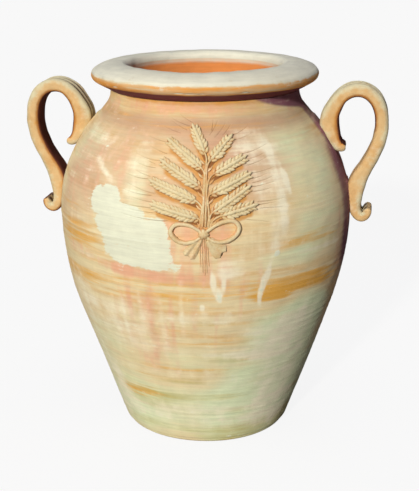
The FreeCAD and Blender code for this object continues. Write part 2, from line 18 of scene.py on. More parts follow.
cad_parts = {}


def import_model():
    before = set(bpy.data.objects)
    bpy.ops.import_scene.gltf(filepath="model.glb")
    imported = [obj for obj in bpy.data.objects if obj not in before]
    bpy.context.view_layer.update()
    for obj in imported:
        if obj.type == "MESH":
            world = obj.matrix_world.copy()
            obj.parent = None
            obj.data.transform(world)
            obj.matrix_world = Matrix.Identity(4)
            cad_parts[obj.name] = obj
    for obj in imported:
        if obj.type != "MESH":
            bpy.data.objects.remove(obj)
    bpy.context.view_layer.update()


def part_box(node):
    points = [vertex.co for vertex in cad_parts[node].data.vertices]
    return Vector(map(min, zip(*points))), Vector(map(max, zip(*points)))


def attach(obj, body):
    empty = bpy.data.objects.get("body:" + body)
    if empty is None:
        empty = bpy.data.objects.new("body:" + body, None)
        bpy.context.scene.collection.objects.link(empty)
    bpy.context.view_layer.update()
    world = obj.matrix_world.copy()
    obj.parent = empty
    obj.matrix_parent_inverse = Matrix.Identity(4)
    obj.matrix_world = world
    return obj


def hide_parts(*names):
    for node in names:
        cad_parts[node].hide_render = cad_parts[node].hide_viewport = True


MM = 0.001
LOG = logging.getLogger("amphora")
Array = np.ndarray
Marks = dict[str, Array]
Piece = bpy.types.Object
# A place on the wall, as azimuth and height; and the two ends of a range.
Place = tuple[float, float]
Span = tuple[float, float]
Triple = tuple[float, float, float]
# Waves of the wall and the foot: what picks them, how many round the jar, and their pitch up it.
SLOW_WAVES = (3, (1, 4), (160.0, 420.0))


# --- small helpers

def srgb(code: str) -> tuple[float, ...]:
    """Turn an sRGB hex colour to linear RGBA.

    A channel c becomes c / 12.92 up to 0.04045, and ((c + 0.055) / 1.055) ^ 2.4 above it.

    Args:
        code: colour such as "#d9a878".

    Returns:
        Red, green, blue, and an alpha of 1.
    """
    channels = [int(code[place:place + 2], 16) / 255 for place in (1, 3, 5)]
    return (*(c / 12.92 if c <= 0.04045 else ((c + 0.055) / 1.055) ** 2.4 for c in channels), 1.0)


def soft_step(value: Array, low: float, high: float) -> Array:
    """Smooth ramp 3 t^2 - 2 t^3, with t running from 0 at low to 1 at high."""
    share = np.clip((value - low) / (high - low), 0.0, 1.0)
    return share * share * (3.0 - 2.0 * share)


def unit(vectors: Array) -> Array:
    """Vectors of length 1 along the last axis."""
    return vectors / np.linalg.norm(vectors, axis=-1, keepdims=True)


def circle(count: int) -> Array:
    """Angles in radians, once round."""
    return np.linspace(0.0, 2 * math.pi, count, endpoint=False)


def turn_from(azimuth: Array, centre: float) -> Array:
    """Degrees from a centre to azimuths, between -180 and 180."""
    return (azimuth - centre + 180.0) % 360.0 - 180.0


def turned(radius: Array, azimuth: Array, height: Array) -> Array:
    """Points at radii and heights, turned round the axis by azimuths."""
    angle = np.radians(azimuth)
    return np.stack(np.broadcast_arrays(
        radius * np.sin(angle), -radius * np.cos(angle), height), axis=-1)


def moved(start: Array, *steps: tuple[Array, Array | float]) -> Array:
    """Points reached from start by going along directions, each for its distances."""
    return sum((direction * np.asarray(far)[..., None] for direction, far in steps), start)


def run_length(points: Array) -> Array:
    """Length along a line at each of its points."""
    return np.concatenate([[0.0], np.cumsum(np.linalg.norm(np.diff(points, axis=0), axis=1))])


def smooth_route(points: Array, count: int) -> Array:
    """Sample a natural cubic spline through points at an even spacing.

    The spline's second derivatives m solve the usual tridiagonal system on chord lengths h:
    h0 m0 + 2 (h0 + h1) m1 + h1 m2 = 6 (slope1 - slope0), with m = 0 at both ends.

    Args:
        points: array of shape (n, k), the first three columns or fewer being places.
        count: number of samples.

    Returns:
        Array of shape (count, k).
    """
    knots = run_length(points[:, :3])
    gaps = np.diff(knots)
    system = np.eye(len(points))
    inner = np.arange(1, len(points) - 1)
    system[inner, inner - 1] = gaps[:-1]
    system[inner, inner] = 2 * (gaps[:-1] + gaps[1:])
    system[inner, inner + 1] = gaps[1:]
    bends = np.zeros_like(points)
    bends[1:-1] = 6 * np.diff(np.diff(points, axis=0) / gaps[:, None], axis=0)
    second = np.linalg.solve(system, bends)

    def evaluate(places: Array) -> Array:
        """Work out the spline, as the usual cubic between the two knots round each place.

        Args:
            places: chord lengths.

        Returns:
            Array of shape (places, k).
        """
        span = np.clip(np.searchsorted(knots, places) - 1, 0, len(gaps) - 1)
        gap, after = gaps[span][:, None], (places - knots[span])[:, None]
        before = gap - after
        curved = second[span] * before ** 3 + second[span + 1] * after ** 3
        return (curved / (6 * gap) + (points[span] / gap - second[span] * gap / 6) * before
                + (points[span + 1] / gap - second[span + 1] * gap / 6) * after)

    fine = np.linspace(0.0, knots[-1], 40 * len(points))
    length = run_length(evaluate(fine)[:, :3])
    return evaluate(np.interp(np.linspace(0.0, length[-1], count), length, fine))


def waves(azimuth: Array, height: Array, seed: int, turns: tuple[int, int], pitch: Span,
          count: int = 14) -> Array:
    """Smooth unevenness that closes on itself round the jar.

    It is a sum of cosines cos(n azimuth + 2 pi height / p + phase), with n a whole number from
    the range turns and p a length from the range pitch, scaled to about -1 to 1.

    Args:
        azimuth: degrees.
        height: millimetres.
        seed: picks the waves.
        turns: fewest and most waves round the jar.
        pitch: shortest and longest wave up the jar.
        count: number of cosines.

    Returns:
        Array of the broadcast shape of azimuth and height.
    """
    draw = np.random.default_rng(seed)
    total = 0.0
    for _ in range(count):
        around = draw.integers(turns[0], turns[1] + 1)
        up = 2 * math.pi / draw.uniform(*pitch) * draw.choice((-1.0, 1.0))
        phase = draw.uniform(0.0, 2 * math.pi)
        total = total + np.cos(np.radians(azimuth) * around + height * up + phase)
    return total * (1.4 / math.sqrt(count) / 1.6)


def grid_faces(rows: int, columns: int, wrap_rows: bool = True) -> Array:
    """Quads of a grid whose points are numbered row by row and whose rows are closed.

    Args:
        rows: number of rows of points.
        columns: number of points in a row.
        wrap_rows: join the last row to the first.

    Returns:
        Integer array of shape (quads, 4).
    """
    row = np.arange(rows if wrap_rows else rows - 1)
    low, left = (part.ravel() for part in np.meshgrid(row, np.arange(columns), indexing="ij"))
    high, right = (low + 1) % rows, (left + 1) % columns
    return np.stack([low * columns + left, low * columns + right,
                     high * columns + right, high * columns + left], axis=1)


def tube_faces(count: int, rings: int, around: int) -> list[Array]:
    """Faces of closed tubes that follow each other: quads between rings, and a cap at each end.

    Args:
        count: number of tubes.
        rings: rings in each tube.
        around: points in each ring.

    Returns:
        The quads, and the caps.
    """
    starts = (np.arange(count) * rings * around)[:, None, None]
    quads = (grid_faces(rings, around, False)[None] + starts).reshape(-1, 4)
    ends = np.stack([np.arange(around)[::-1], (rings - 1) * around + np.arange(around)])
    return [quads, (ends[None] + starts).reshape(-1, around)]


def signed_volume(points: Array, faces: list[Array]) -> float:
    """Volume inside closed faces, negative if they are inside out: a sum of a . (b x c) / 6.

    Args:
        points: array of shape (n, 3).
        faces: face arrays.

    Returns:
        The volume.
    """
    total = 0.0
    for part in faces:
        for corner in range(1, part.shape[1] - 1):
            cross = np.cross(points[part[:, corner]], points[part[:, corner + 1]])
            total += float(np.einsum("ij,ij->", points[part[:, 0]], cross))
    return total / 6


def make_piece(name: str, points: Array, faces: list[Array], marks: Marks,
               crease: float = 50.0) -> Piece:
    """Make a mesh object from points in millimetres, with its faces turned outwards.

    Args:
        name: name of the piece.
        points: array of shape (..., 3).
        faces: face arrays, each with its own number of corners.
        marks: numbers for the points, stored as attributes for the materials.
        crease: angle in degrees above which an edge is shaded sharp.

    Returns:
        The object, linked to the scene, unturned at the origin.
    """
    shape, points = points.shape[:-1], points.reshape(-1, 3)
    mesh = bpy.data.meshes.new(name)
    mesh.vertices.add(len(points))
    mesh.vertices.foreach_set("co", (points * MM).astype(np.float32).ravel())
    corners = np.concatenate([part.ravel() for part in faces])
    sizes = np.concatenate([np.full(len(part), part.shape[1]) for part in faces])
    mesh.loops.add(len(corners))
    mesh.loops.foreach_set("vertex_index", corners.astype(np.int32))
    mesh.polygons.add(len(sizes))
    mesh.polygons.foreach_set("loop_start", (np.cumsum(sizes) - sizes).astype(np.int32))
    mesh.update(calc_edges=True)
    for mark, values in marks.items():
        layer = mesh.attributes.new(mark, "FLOAT", "POINT")
        layer.data.foreach_set("value", np.broadcast_to(values, shape).astype(np.float32).ravel())
    if signed_volume(points, faces) < 0:
        mesh.flip_normals()
    mesh.shade_smooth()
    mesh.set_sharp_from_angle(angle=math.radians(crease))
    return add_to_scene(name, mesh)


def add_to_scene(name: str, data: bpy.types.ID) -> Piece:
    """Make an object and link it to the scene.

    Args:
        name: name of the object.
        data: mesh, lamp or camera.

    Returns:
        The object.
    """
    thing = bpy.data.objects.new(name, data)
    bpy.context.scene.collection.objects.link(thing)
    return thing


def sprig(node: str, tubes: Array, marks: Marks, crease: float = 70.0) -> Piece:
    """Make a relief piece from closed tubes, given as points of shape (tubes, rings, around, 3)."""
    return make_piece(f"{node}_sprig", tubes, tube_faces(*tubes.shape[:3]), marks, crease)


def ring(node: str, points: Array, marks: Marks) -> Piece:
    """Make a clay piece from closed rows of points, the last row joined to the first."""
    return make_piece(f"{node}_clay", points, [grid_faces(*points.shape[:2])], marks)


# --- the wall's form

@dataclass(frozen=True)
class WallForm:
    """Section of the jar's wall: straight flank, bulge, shoulder, collar, throat and neck."""

    belly_radius: float = 235.5
    belly_height: float = 365.0
    thickness: float = 20.0
    flank_curve: float = 470.0
    flank_angle: float = 19.3
    shoulder_curve: float = 212.0
    shoulder_angle: float = 39.8
    throat_curve: float = 37.0
    neck_radius: float = 150.5

    @property
    def throat_height(self) -> float:
        """Height of the centre of the throat's arc under the neck, which touches the collar.

        Returns:
            The height at which the shoulder, the straight collar and the throat meet smoothly.
        """
        lean, curves = math.radians(self.shoulder_angle), self.shoulder_curve + self.throat_curve
        reach = (self.neck_radius - self.belly_radius + curves) * math.cos(lean)
        return self.belly_height + (curves - reach) / math.sin(lean)

    def radius(self, height: Array | float, inset: float = 0.0) -> Array:
        """Radius of the wall's face, a chain of tangent lines and arcs, inside the outside.

        Args:
            height: heights.
            inset: 0 for the outside, the wall's thickness for the inside.

        Returns:
            Radii.
        """
        height = np.asarray(height, float)
        flank, lean = math.radians(self.flank_angle), math.radians(self.shoulder_angle)
        bulge, shoulder = self.flank_curve - inset, self.shoulder_curve - inset
        throat = self.throat_curve + inset
        bulge_r = self.belly_radius - self.flank_curve
        shoulder_r = self.belly_radius - self.shoulder_curve
        flank_z = self.belly_height - bulge * math.sin(flank)
        collar_z = self.belly_height + shoulder * math.sin(lean)
        throat_z = self.throat_height - throat * math.sin(lean)
        above, below = height - self.belly_height, np.minimum(height - self.throat_height, 0.0)
        bulged, rounded, hollowed = (np.sqrt(np.maximum(arc ** 2 - far ** 2, 0)) for arc, far in
                                     ((bulge, above), (shoulder, above), (throat, below)))
        return np.select(
            [height < flank_z, height < self.belly_height, height < collar_z, height < throat_z],
            [bulge_r + bulge * math.cos(flank) + (height - flank_z) * math.tan(flank),
             bulge_r + bulged, shoulder_r + rounded,
             shoulder_r + shoulder * math.cos(lean) - (height - collar_z) * math.tan(lean)],
            self.neck_radius + self.throat_curve - hollowed)

    def normal(self, azimuth: Array, height: Array) -> Array:
        """Unit vectors out of the wall, from the radius half a millimetre either side."""
        slope = self.radius(height + 0.5) - self.radius(height - 0.5)
        return unit(turned(1.0, azimuth, -slope))

    def place(self, azimuth: Array, height: Array, proud: Array | float = 0.0) -> Array:
        """Points standing proud of the wall by a distance along its normal."""
        base = turned(self.radius(height), azimuth, height)
        return moved(base, (self.normal(azimuth, height), proud))

    def levels(self, low: float, high: float, spacing: float) -> Array:
        """Heights between two levels, evenly spaced along the section.

        Args:
            low: lowest height.
            high: highest height.
            spacing: length of a step.

        Returns:
            The heights.
        """
        fine = np.linspace(low, high, 400)
        length = run_length(np.stack([fine, self.radius(fine)], axis=1))
        count = max(3, round(length[-1] / spacing) + 1)
        return np.interp(np.linspace(0.0, length[-1], count), length, fine)


WALL = WallForm()
# Top of the flat chart of the wall, and the height above which lengths round it stay the same.
CHART_TOP, ROUND_TOP = 563.0, 560.0


def along_wall(azimuth: Array, height: Array, centre: float) -> Array:
    """Length round the wall from the azimuth centre."""
    return np.radians(turn_from(azimuth, centre)) * WALL.radius(np.clip(height, 0.0, ROUND_TOP))


# --- washes on the wall

class Coat(Enum):
    """Layers brushed over the clay, and one coat of painted shade."""

    BUFF = "buff"
    SALMON = "salmon"
    SAGE = "sage"
    MOSS = "moss"
    OCHRE = "ochre"
    # Painted shade in dark red-purple, where shade falls beside the handles and under the lip.
    PAINTED_SHADE = "painted_shade"
    CREAM = "cream"
    LIME = "lime"


@dataclass(frozen=True)
class Patch:
    """Brushed patch: a rounded rectangle on the wall with soft edges.

    across and up are its half sizes. slant turns it: height for each millimetre along the wall.
    """

    azimuth: float
    height: float
    across: float
    up: float
    strength: float
    edge: float
    slant: float = 0.0

    def cover(self, azimuth: Array, height: Array) -> Array:
        """Cover from 0 to strength: half at the outline |x / across|^3 + |y / up|^3 = 1.

        Args:
            azimuth: degrees.
            height: millimetres.

        Returns:
            Cover at each place.
        """
        x = along_wall(azimuth, height, self.azimuth)
        y = height - self.height - self.slant * x
        reach = (np.abs(x / self.across) ** 3 + np.abs(y / self.up) ** 3) ** (1 / 3)
        inside = (1.0 - reach) * min(self.across, self.up)
        return self.strength * soft_step(inside, -self.edge / 2, self.edge / 2)


# Each row is a patch's fields in order. Buff is thickest in a band above the sheaf, salmon is bare
# pink clay and thin runs, sage and moss are green blooms on the right and towards the foot, ochre
# is brushed bands and strokes, the dark red-purple coat is painted shade beside the handles, on the
# shaded right edge and in the lip's shadow on the right of the neck, cream is thin washes, brush
# loads and runs, and lime is the thick patch left of the bow, drops under it, and two patches round
# the back.
PATCHES: dict[Coat, tuple[tuple[float, ...], ...]] = {
    Coat.BUFF: (
        (-25, 476, 190, 66, 0.58, 50), (-40, 528, 110, 10, 0.5, 13), (34, 526, 130, 12, 0.6, 15),
        (0, 514, 44, 16, 0.5, 18), (24, 455, 70, 50, 0.4, 50), (-60, 400, 64, 76, 0.42, 40),
        (160, 470, 260, 64, 0.55, 50),
    ),
    Coat.SALMON: (
        (-10, 551, 112, 11, 0.72, 15), (-37, 472, 15, 40, 0.5, 20), (-13.5, 366, 13, 44, 0.8, 12),
        (-26, 316, 84, 10, 0.9, 12, -0.07), (0, 384, 52, 14, 0.62, 12), (0, 342, 44, 40, 0.5, 24),
        (14, 312, 40, 26, 0.36, 24), (-24, 215, 52, 80, 0.4, 40), (-54, 465, 50, 60, 0.36, 40),
        (-58, 330, 44, 12, 0.55, 14), (72, 365, 50, 110, 0.5, 34), (120, 420, 60, 60, 0.5, 40),
        (-120, 400, 80, 50, 0.45, 40), (180, 540, 300, 14, 0.6, 16), (-38, 240, 4, 44, 0.4, 8),
        (-31, 268, 5, 44, 0.5, 9), (-22, 236, 6, 70, 0.52, 9), (-13.5, 214, 4, 60, 0.45, 8),
        (-4.5, 258, 7, 50, 0.48, 10), (4, 224, 4, 40, 0.4, 8), (13, 262, 5, 34, 0.4, 8),
    ),
    Coat.SAGE: (
        (48, 425, 64, 100, 0.52, 70), (40, 215, 92, 44, 0.9, 44), (36, 95, 92, 92, 0.92, 70),
        (-8, 60, 120, 60, 0.7, 60), (-52, 130, 66, 90, 0.52, 70), (-62, 40, 60, 40, 0.62, 40),
        (-66, 480, 50, 40, 0.36, 40), (160, 140, 260, 120, 0.7, 90), (120, 430, 120, 70, 0.45, 60),
        (-120, 90, 160, 70, 0.62, 60), (32, 334, 60, 13, 0.6, 14), (-4, 172, 60, 26, 0.55, 24),
        (-28, 445, 20, 46, 0.5, 22), (72, 80, 44, 80, 0.95, 40), (30, 40, 70, 44, 0.8, 40),
        (46, 170, 44, 100, 0.85, 50),
    ),
    Coat.MOSS: (
        (-34, 84, 70, 26, 0.55, 30), (-20, 24, 150, 22, 0.5, 26), (40, 20, 110, 18, 0.6, 26),
        (-12, 128, 100, 14, 0.45, 20), (16, 168, 80, 12, 0.5, 18, 0.05),
        (8, 240, 110, 12, 0.42, 18), (22, 206, 60, 7, 0.4, 12), (-4, 96, 90, 8, 0.45, 14),
        (10, 60, 90, 10, 0.4, 16), (67, 110, 36, 90, 0.35, 40), (160, 60, 260, 40, 0.5, 40),
        (-110, 60, 120, 40, 0.5, 40),
    ),
    Coat.OCHRE: (
        (-15, 561, 130, 6, 0.55, 8), (30, 527, 110, 8, 0.42, 10), (-36, 528, 110, 8, 0.34, 10),
        (-56, 356, 60, 20, 0.66, 18), (-62, 405, 34, 30, 0.34, 30), (-10, 288, 300, 17, 0.52, 20),
        (38, 292, 74, 15, 0.85, 16), (26, 276, 34, 8, 1.25, 8), (44, 360, 60, 11, 0.52, 14),
        (-64, 290, 40, 14, 0.45, 18), (-40, 92, 54, 11, 0.58, 16), (-32, 104, 26, 3.5, 0.45, 7),
        (4, 204, 96, 6, 0.46, 10), (-8, 150, 120, 5, 0.45, 9, 0.04), (22, 168, 60, 4, 0.4, 8, 0.1),
        (-26, 186, 60, 5, 0.42, 8, -0.04), (12, 236, 50, 5, 0.4, 8, 0.05),
        (-40, 132, 60, 6, 0.42, 9), (-56, 240, 50, 10, 0.34, 16), (62, 150, 40, 14, 0.45, 16),
        (150, 280, 300, 20, 0.55, 24), (-120, 340, 120, 16, 0.55, 16), (120, 500, 90, 14, 0.5, 16),
        (0, 4, 900, 3, 0.2, 5),
    ),
    Coat.PAINTED_SHADE: (
        (78.5, 380, 56, 108, 0.9, 34), (59, 556.5, 84, 17, 1, 8, -0.17), (82, 505, 34, 50, 0.9, 24),
        (-98, 400, 40, 90, 0.6, 36),
    ),
    Coat.CREAM: (
        (-54, 480, 74, 44, 0.3, 40), (28, 184, 38, 34, 0.56, 26), (-28.5, 448, 19, 42, 0.62, 22),
        (20, 478, 44, 28, 0.48, 30), (20, 508, 36, 13, 0.55, 18), (25, 440, 30, 46, 0.42, 30),
        (28.5, 480, 6, 26, 1.15, 8, -0.8), (32.5, 452, 6, 17, 1.35, 8, -1.4),
        (29.5, 410, 8, 36, 1, 12, 0.3), (26, 372, 8, 30, 0.62, 14, 0.5),
        (18, 352, 34, 36, 0.36, 24), (46, 339, 60, 4, 0.8, 8), (-56, 384, 34, 7, 0.55, 12),
        (-52, 326, 40, 4, 0.6, 8), (-44, 250, 64, 15, 0.66, 20), (0, 243, 90, 9, 0.6, 14),
        (-36, 205, 60, 34, 0.58, 40), (4, 184, 100, 8, 0.5, 12), (24, 222, 60, 9, 0.55, 14),
        (22, 180, 50, 11, 0.62, 18), (-20, 140, 90, 9, 0.48, 14), (20, 120, 70, 14, 0.55, 22),
        (-8, 64, 76, 18, 0.6, 30), (-50, 56, 50, 18, 0.5, 26), (14, 38, 90, 12, 0.55, 20),
        (40, 180, 46, 66, 0.7, 40), (42, 76, 46, 64, 0.75, 40), (-66, 210, 50, 90, 0.6, 50),
        (-66, 80, 50, 60, 0.66, 40), (-140, 250, 70, 40, 0.6, 40), (110, 300, 50, 60, 0.55, 40),
        (170, 80, 120, 30, 0.7, 40), (-35, 215, 3.5, 40, 0.34, 7), (-26.5, 262, 3.5, 44, 0.36, 7),
        (-17.5, 216, 4.5, 70, 0.38, 8), (-9.5, 250, 3.5, 40, 0.34, 7),
        (-0.5, 206, 3.5, 56, 0.34, 7), (8.5, 232, 5, 36, 0.3, 8),
        (-44, 457, 20, 4.5, 1.3, 8, -0.55), (-38, 448, 14, 5, 0.5, 10, 0.1),
        (8.5, 326, 20, 15, 0.85, 14), (2.6, 306, 4, 15, 1.4, 6, -1.6),
        (6.4, 302, 3.2, 12, 1.1, 6, 0.8), (4.6, 286, 5, 12, 1.2, 6, -0.6),
        (23.4, 318, 4.6, 14, 1.3, 7, 1.6), (21.4, 298, 4.6, 14, 1.4, 6, 1.6),
        (20.4, 277, 3.6, 12, 1.3, 6, -0.6), (-1.6, 266, 3.4, 5, 1.2, 5),
    ),
    Coat.LIME: (
        (-40.5, 419, 27, 21, 1.15, 13, 0.03), (-33.5, 393, 45, 24, 1.15, 14),
        (-27, 366, 55, 26, 1.15, 14), (-25.6, 341, 54, 16, 1.15, 13, -0.1),
        (-18, 376, 17, 26, 1, 13), (26.5, 345, 4.6, 4.6, 0.9, 6), (4.9, 282, 3.8, 9, 0.5, 7, -0.8),
        (21, 292, 3.2, 14, 0.52, 7, 1.4), (150, 420, 60, 46, 0.95, 18), (168, 372, 40, 50, 0.9, 18),
        (-112, 460, 40, 26, 0.8, 20),
    ),
}


def coat_cover(coat: Coat, azimuth: Array, height: Array) -> Array:
    """Cover of one coat where patches lie over each other: 1 - product of (1 - cover).

    Args:
        coat: the coat.
        azimuth: degrees.
        height: millimetres.

    Returns:
        Cover at each place.
    """
    bare = np.ones(np.broadcast(azimuth, height).shape)
    for row in PATCHES[coat]:
        bare *= 1.0 - Patch(*row).cover(azimuth, height)
    return 1.0 - bare


def wall_marks(azimuth: Array, height: Array) -> Marks:
    """Cover of every coat, by the name of its attribute."""
    return {coat.value: coat_cover(coat, azimuth, height) for coat in Coat}


# --- the sheaf's plan

@dataclass(frozen=True)
class EarPlan:
    """Where one wheat ear lies: its name, its stalk end and its tip."""

    name: str
    base: Place
    tip: Place

    @property
    def hand(self) -> float:
        """-1 left of the trunk, 1 right of it."""
        return -1.0 if self.name.startswith("left") else 1.0


EARS: tuple[EarPlan, ...] = (
    EarPlan("left_1", (0.0, 490.0), (-6.3, 527.0)),
    EarPlan("left_2", (-1.6, 472.0), (-17.6, 508.5)),
    EarPlan("left_3", (-1.9, 447.0), (-18.8, 481.5)),
    EarPlan("left_4", (-3.4, 428.5), (-21.8, 454.0)),
    EarPlan("left_5", (-2.4, 403.5), (-20.4, 422.0)),
    EarPlan("right_1", (1.8, 481.0), (12.3, 512.5)),
    EarPlan("right_2", (3.0, 464.0), (17.2, 486.0)),
    EarPlan("right_3", (1.6, 437.5), (18.0, 464.0)),
    EarPlan("right_4", (2.2, 412.0), (16.8, 446.5)),
    EarPlan("right_5", (5.2, 407.5), (18.6, 421.0)),
)

# Awns: incised hairs, as azimuth and height of both ends and the sag of the line.
AWNS: tuple[tuple[float, ...], ...] = (
    (-16.5, 490, -26.5, 500.5, 1.5), (-17.5, 504.5, -27.5, 511, 1), (-19, 480.5, -32, 488.5, 2.5),
    (-20.5, 471, -30.5, 476.5, 1.5), (-21, 476, -26.5, 482, 0.5), (-22.5, 455.5, -34, 460.5, 2),
    (-22, 459, -30, 466.5, 1), (-19, 436.8, -31.5, 447, 2), (-20.5, 433.5, -33, 438, 1.5),
    (-19.5, 416.3, -33, 418.5, 1), (-20, 424.5, -28.5, 428.5, 1), (-13.5, 399.5, -32.5, 404, 2),
    (-18.5, 409.5, -29, 411, 0.5), (-8, 526.5, -18.5, 537, 1.5), (-9, 521, -17.5, 532.5, 1),
    (-6.5, 531, -13.5, 541.5, 1), (-12, 517, -21, 525, 1), (2.2, 515, 6.8, 534, -1),
    (4.5, 512, 10.8, 530, -1), (3.2, 520, 4.4, 535, -0.5), (8.5, 514.5, 13.5, 528.5, -1),
    (12.5, 513.5, 22.5, 525.5, -2), (14, 508, 24.5, 516.5, -1.5), (16, 489.5, 30.5, 501.5, -2),
    (16.5, 481.5, 26.5, 488.5, -1), (17.3, 474.5, 27.5, 484, -1.5), (18, 463.5, 29, 469, -1),
    (18.5, 456, 24.5, 461, -0.5), (18.3, 450.8, 27.5, 457, -1), (18, 438.8, 25.3, 441.1, -0.5),
    (17.5, 445, 27.5, 449.5, -0.5), (19.3, 424.8, 30, 425, -1), (20, 415, 29, 412.5, 0.5),
    (19.5, 420, 26, 421, 0), (14.8, 400.5, 23.5, 393.5, 0.5), (12.2, 356, 20.6, 347.5, 0.5),
)


def wall_chart(azimuth: Array | float, height: Array | float) -> Array:
    """Flat chart of the front: length along the wall and length up the section.

    Args:
        azimuth: degrees.
        height: millimetres.

    Returns:
        Array whose last axis holds both lengths.
    """
    fine = np.linspace(0.0, CHART_TOP, 1200)
    up = np.interp(height, fine, run_length(np.stack([fine, WALL.radius(fine)], axis=1)))
    return np.stack(np.broadcast_arrays(np.radians(azimuth) * WALL.radius(height), up), axis=-1)


def distance_to_line(spots: Array, start: Array, end: Array,
                     sag: float = 0.0) -> tuple[Array, Array]:
    """Distance from chart spots to a line that is moved sideways by 4 sag t (1 - t).

    Args:
        spots: array of shape (..., 2).
        start: one end on the chart, where t is 0.
        end: other end on the chart, where t is 1.
        sag: sideways bow.

    Returns:
        The distances, and the shares t along the line, both of shape (...).
    """
    run = end - start
    length = float(np.hypot(*run))
    along, offset = run / length, spots - start
    share = (offset @ along) / length
    inside = np.clip(share, 0.0, 1.0)
    side = offset @ np.array([-along[1], along[0]]) - 4 * sag * inside * (1 - inside)
    return np.hypot(side, (share - inside) * length), inside


def awn_depth(azimuth: Array, height: Array) -> Array:
    """Depth of the incised hairs, 0 to 1: a rounded groove that tapers to both ends.

    Args:
        azimuth: degrees.
        height: millimetres.

    Returns:
        Depth at each place.
    """
    spots = wall_chart(azimuth, height)
    depth = np.zeros(azimuth.shape)
    for *ends, sag in AWNS:
        gap, share = distance_to_line(spots, wall_chart(*ends[:2]), wall_chart(*ends[2:]), sag)
        half_width = 0.45 + 0.55 * np.sqrt(np.clip(np.sin(math.pi * (0.04 + 0.92 * share)), 0, 1))
        depth = np.maximum(depth, soft_step(-gap, -half_width, -0.1) * (1.0 - 0.45 * share))
    return depth


def below_ears(azimuth: Array, height: Array, near: float, far: float) -> Array:
    """Shade along a line 7 mm below each ear, fading out towards the tip.

    Args:
        azimuth: degrees.
        height: millimetres.
        near: distance from the line up to which the shade is whole.
        far: distance at which it is gone.

    Returns:
        Shade from 0 to 1.
    """
    spots = wall_chart(azimuth, height)
    shade, below = np.zeros(azimuth.shape), np.array([0.0, -7.0])
    for ear in EARS:
        base, tip = wall_chart(*ear.base) + below, wall_chart(*ear.tip) + below
        gap, share = distance_to_line(spots, base, tip)
        beside = soft_step(-gap, -far, -near) * (1.0 - soft_step(share, 0.80, 1.0))
        shade = np.maximum(shade, beside)
    return shade


def sheaf_shade(azimuth: Array, height: Array) -> Array:
    """Orange wash in the hollows of the sheaf, below the ears and 10 to 26 mm round the trunk.

    Args:
        azimuth: degrees.
        height: millimetres.

    Returns:
        Wash from 0 to 1.
    """
    trunk = wall_chart(0.0, 398.0), wall_chart(0.0, 478.0)
    round_trunk = soft_step(-distance_to_line(wall_chart(azimuth, height), *trunk)[0], -26.0, -10.0)
    return np.maximum(below_ears(azimuth, height, 4.0, 14.0), 0.7 * round_trunk)


def sheaf_painted_dark_lines(azimuth: Array, height: Array) -> Array:
    """Painted shade in the finest hollows: the awns, faintly, and a thin painted shadow line under
    each ear.
    """
    return np.maximum(0.8 * awn_depth(azimuth, height), below_ears(azimuth, height, 2.2, 3.6))


# --- the handles' plan

# Middle line of a strap handle from its upper curl to its lower hook: distance from the jar's
# axis, height, and the strap's thickness as a share of the full one.
HANDLE_ROUTE: tuple[Triple, ...] = (
    (225.0, 472.5, 0.66), (218.5, 470.0, 0.74), (211.5, 475.0, 0.86), (205.5, 486.0, 1.08),
    (200.5, 500.0, 1.38), (199.5, 514.0, 1.40), (204.5, 528.5, 1.22), (213.0, 543.5, 1.08),
    (225.5, 555.0, 1.00), (242.0, 559.5, 1.00), (260.5, 554.5, 1.00), (275.0, 537.5, 1.00),
    (281.0, 514.0, 1.00), (279.5, 486.0, 1.00), (270.5, 459.0, 1.00), (258.0, 435.5, 1.06),
    (248.5, 417.0, 1.25), (244.0, 402.0, 1.30), (243.0, 388.0, 1.12), (243.5, 374.0, 0.94),
    (247.0, 362.5, 0.82), (254.5, 357.0, 0.74), (261.5, 360.5, 0.68), (264.0, 368.0, 0.62),
    (263.5, 372.0, 0.58),
)
HANDLE_AZIMUTHS: dict[str, float] = {"handle_right": 81.5, "handle_left": -98.5}
# Height of the middle and half height of the two places where a strap is luted to the wall.
WELDS: tuple[Span, ...] = ((503.0, 12.0), (401.0, 12.0))


def weld_rise(azimuth: Array, height: Array) -> Array:
    """Clay smeared up against the straps, 2 exp(-(d / 3)^2) high at d outside their footprints.

    Args:
        azimuth: degrees.
        height: millimetres.

    Returns:
        Rise above the wall.
    """
    rise = np.zeros(azimuth.shape)
    for centre in HANDLE_AZIMUTHS.values():
        beside = np.maximum(np.abs(along_wall(azimuth, height, centre)) - 20.0, 0.0)
        for middle, reach in WELDS:
            over = np.hypot(beside, np.maximum(np.abs(height - middle) - reach, 0.0))
            rise = np.maximum(rise, 2.0 * np.exp(-(over / 3.0) ** 2))
    return rise


# --- thrown sections

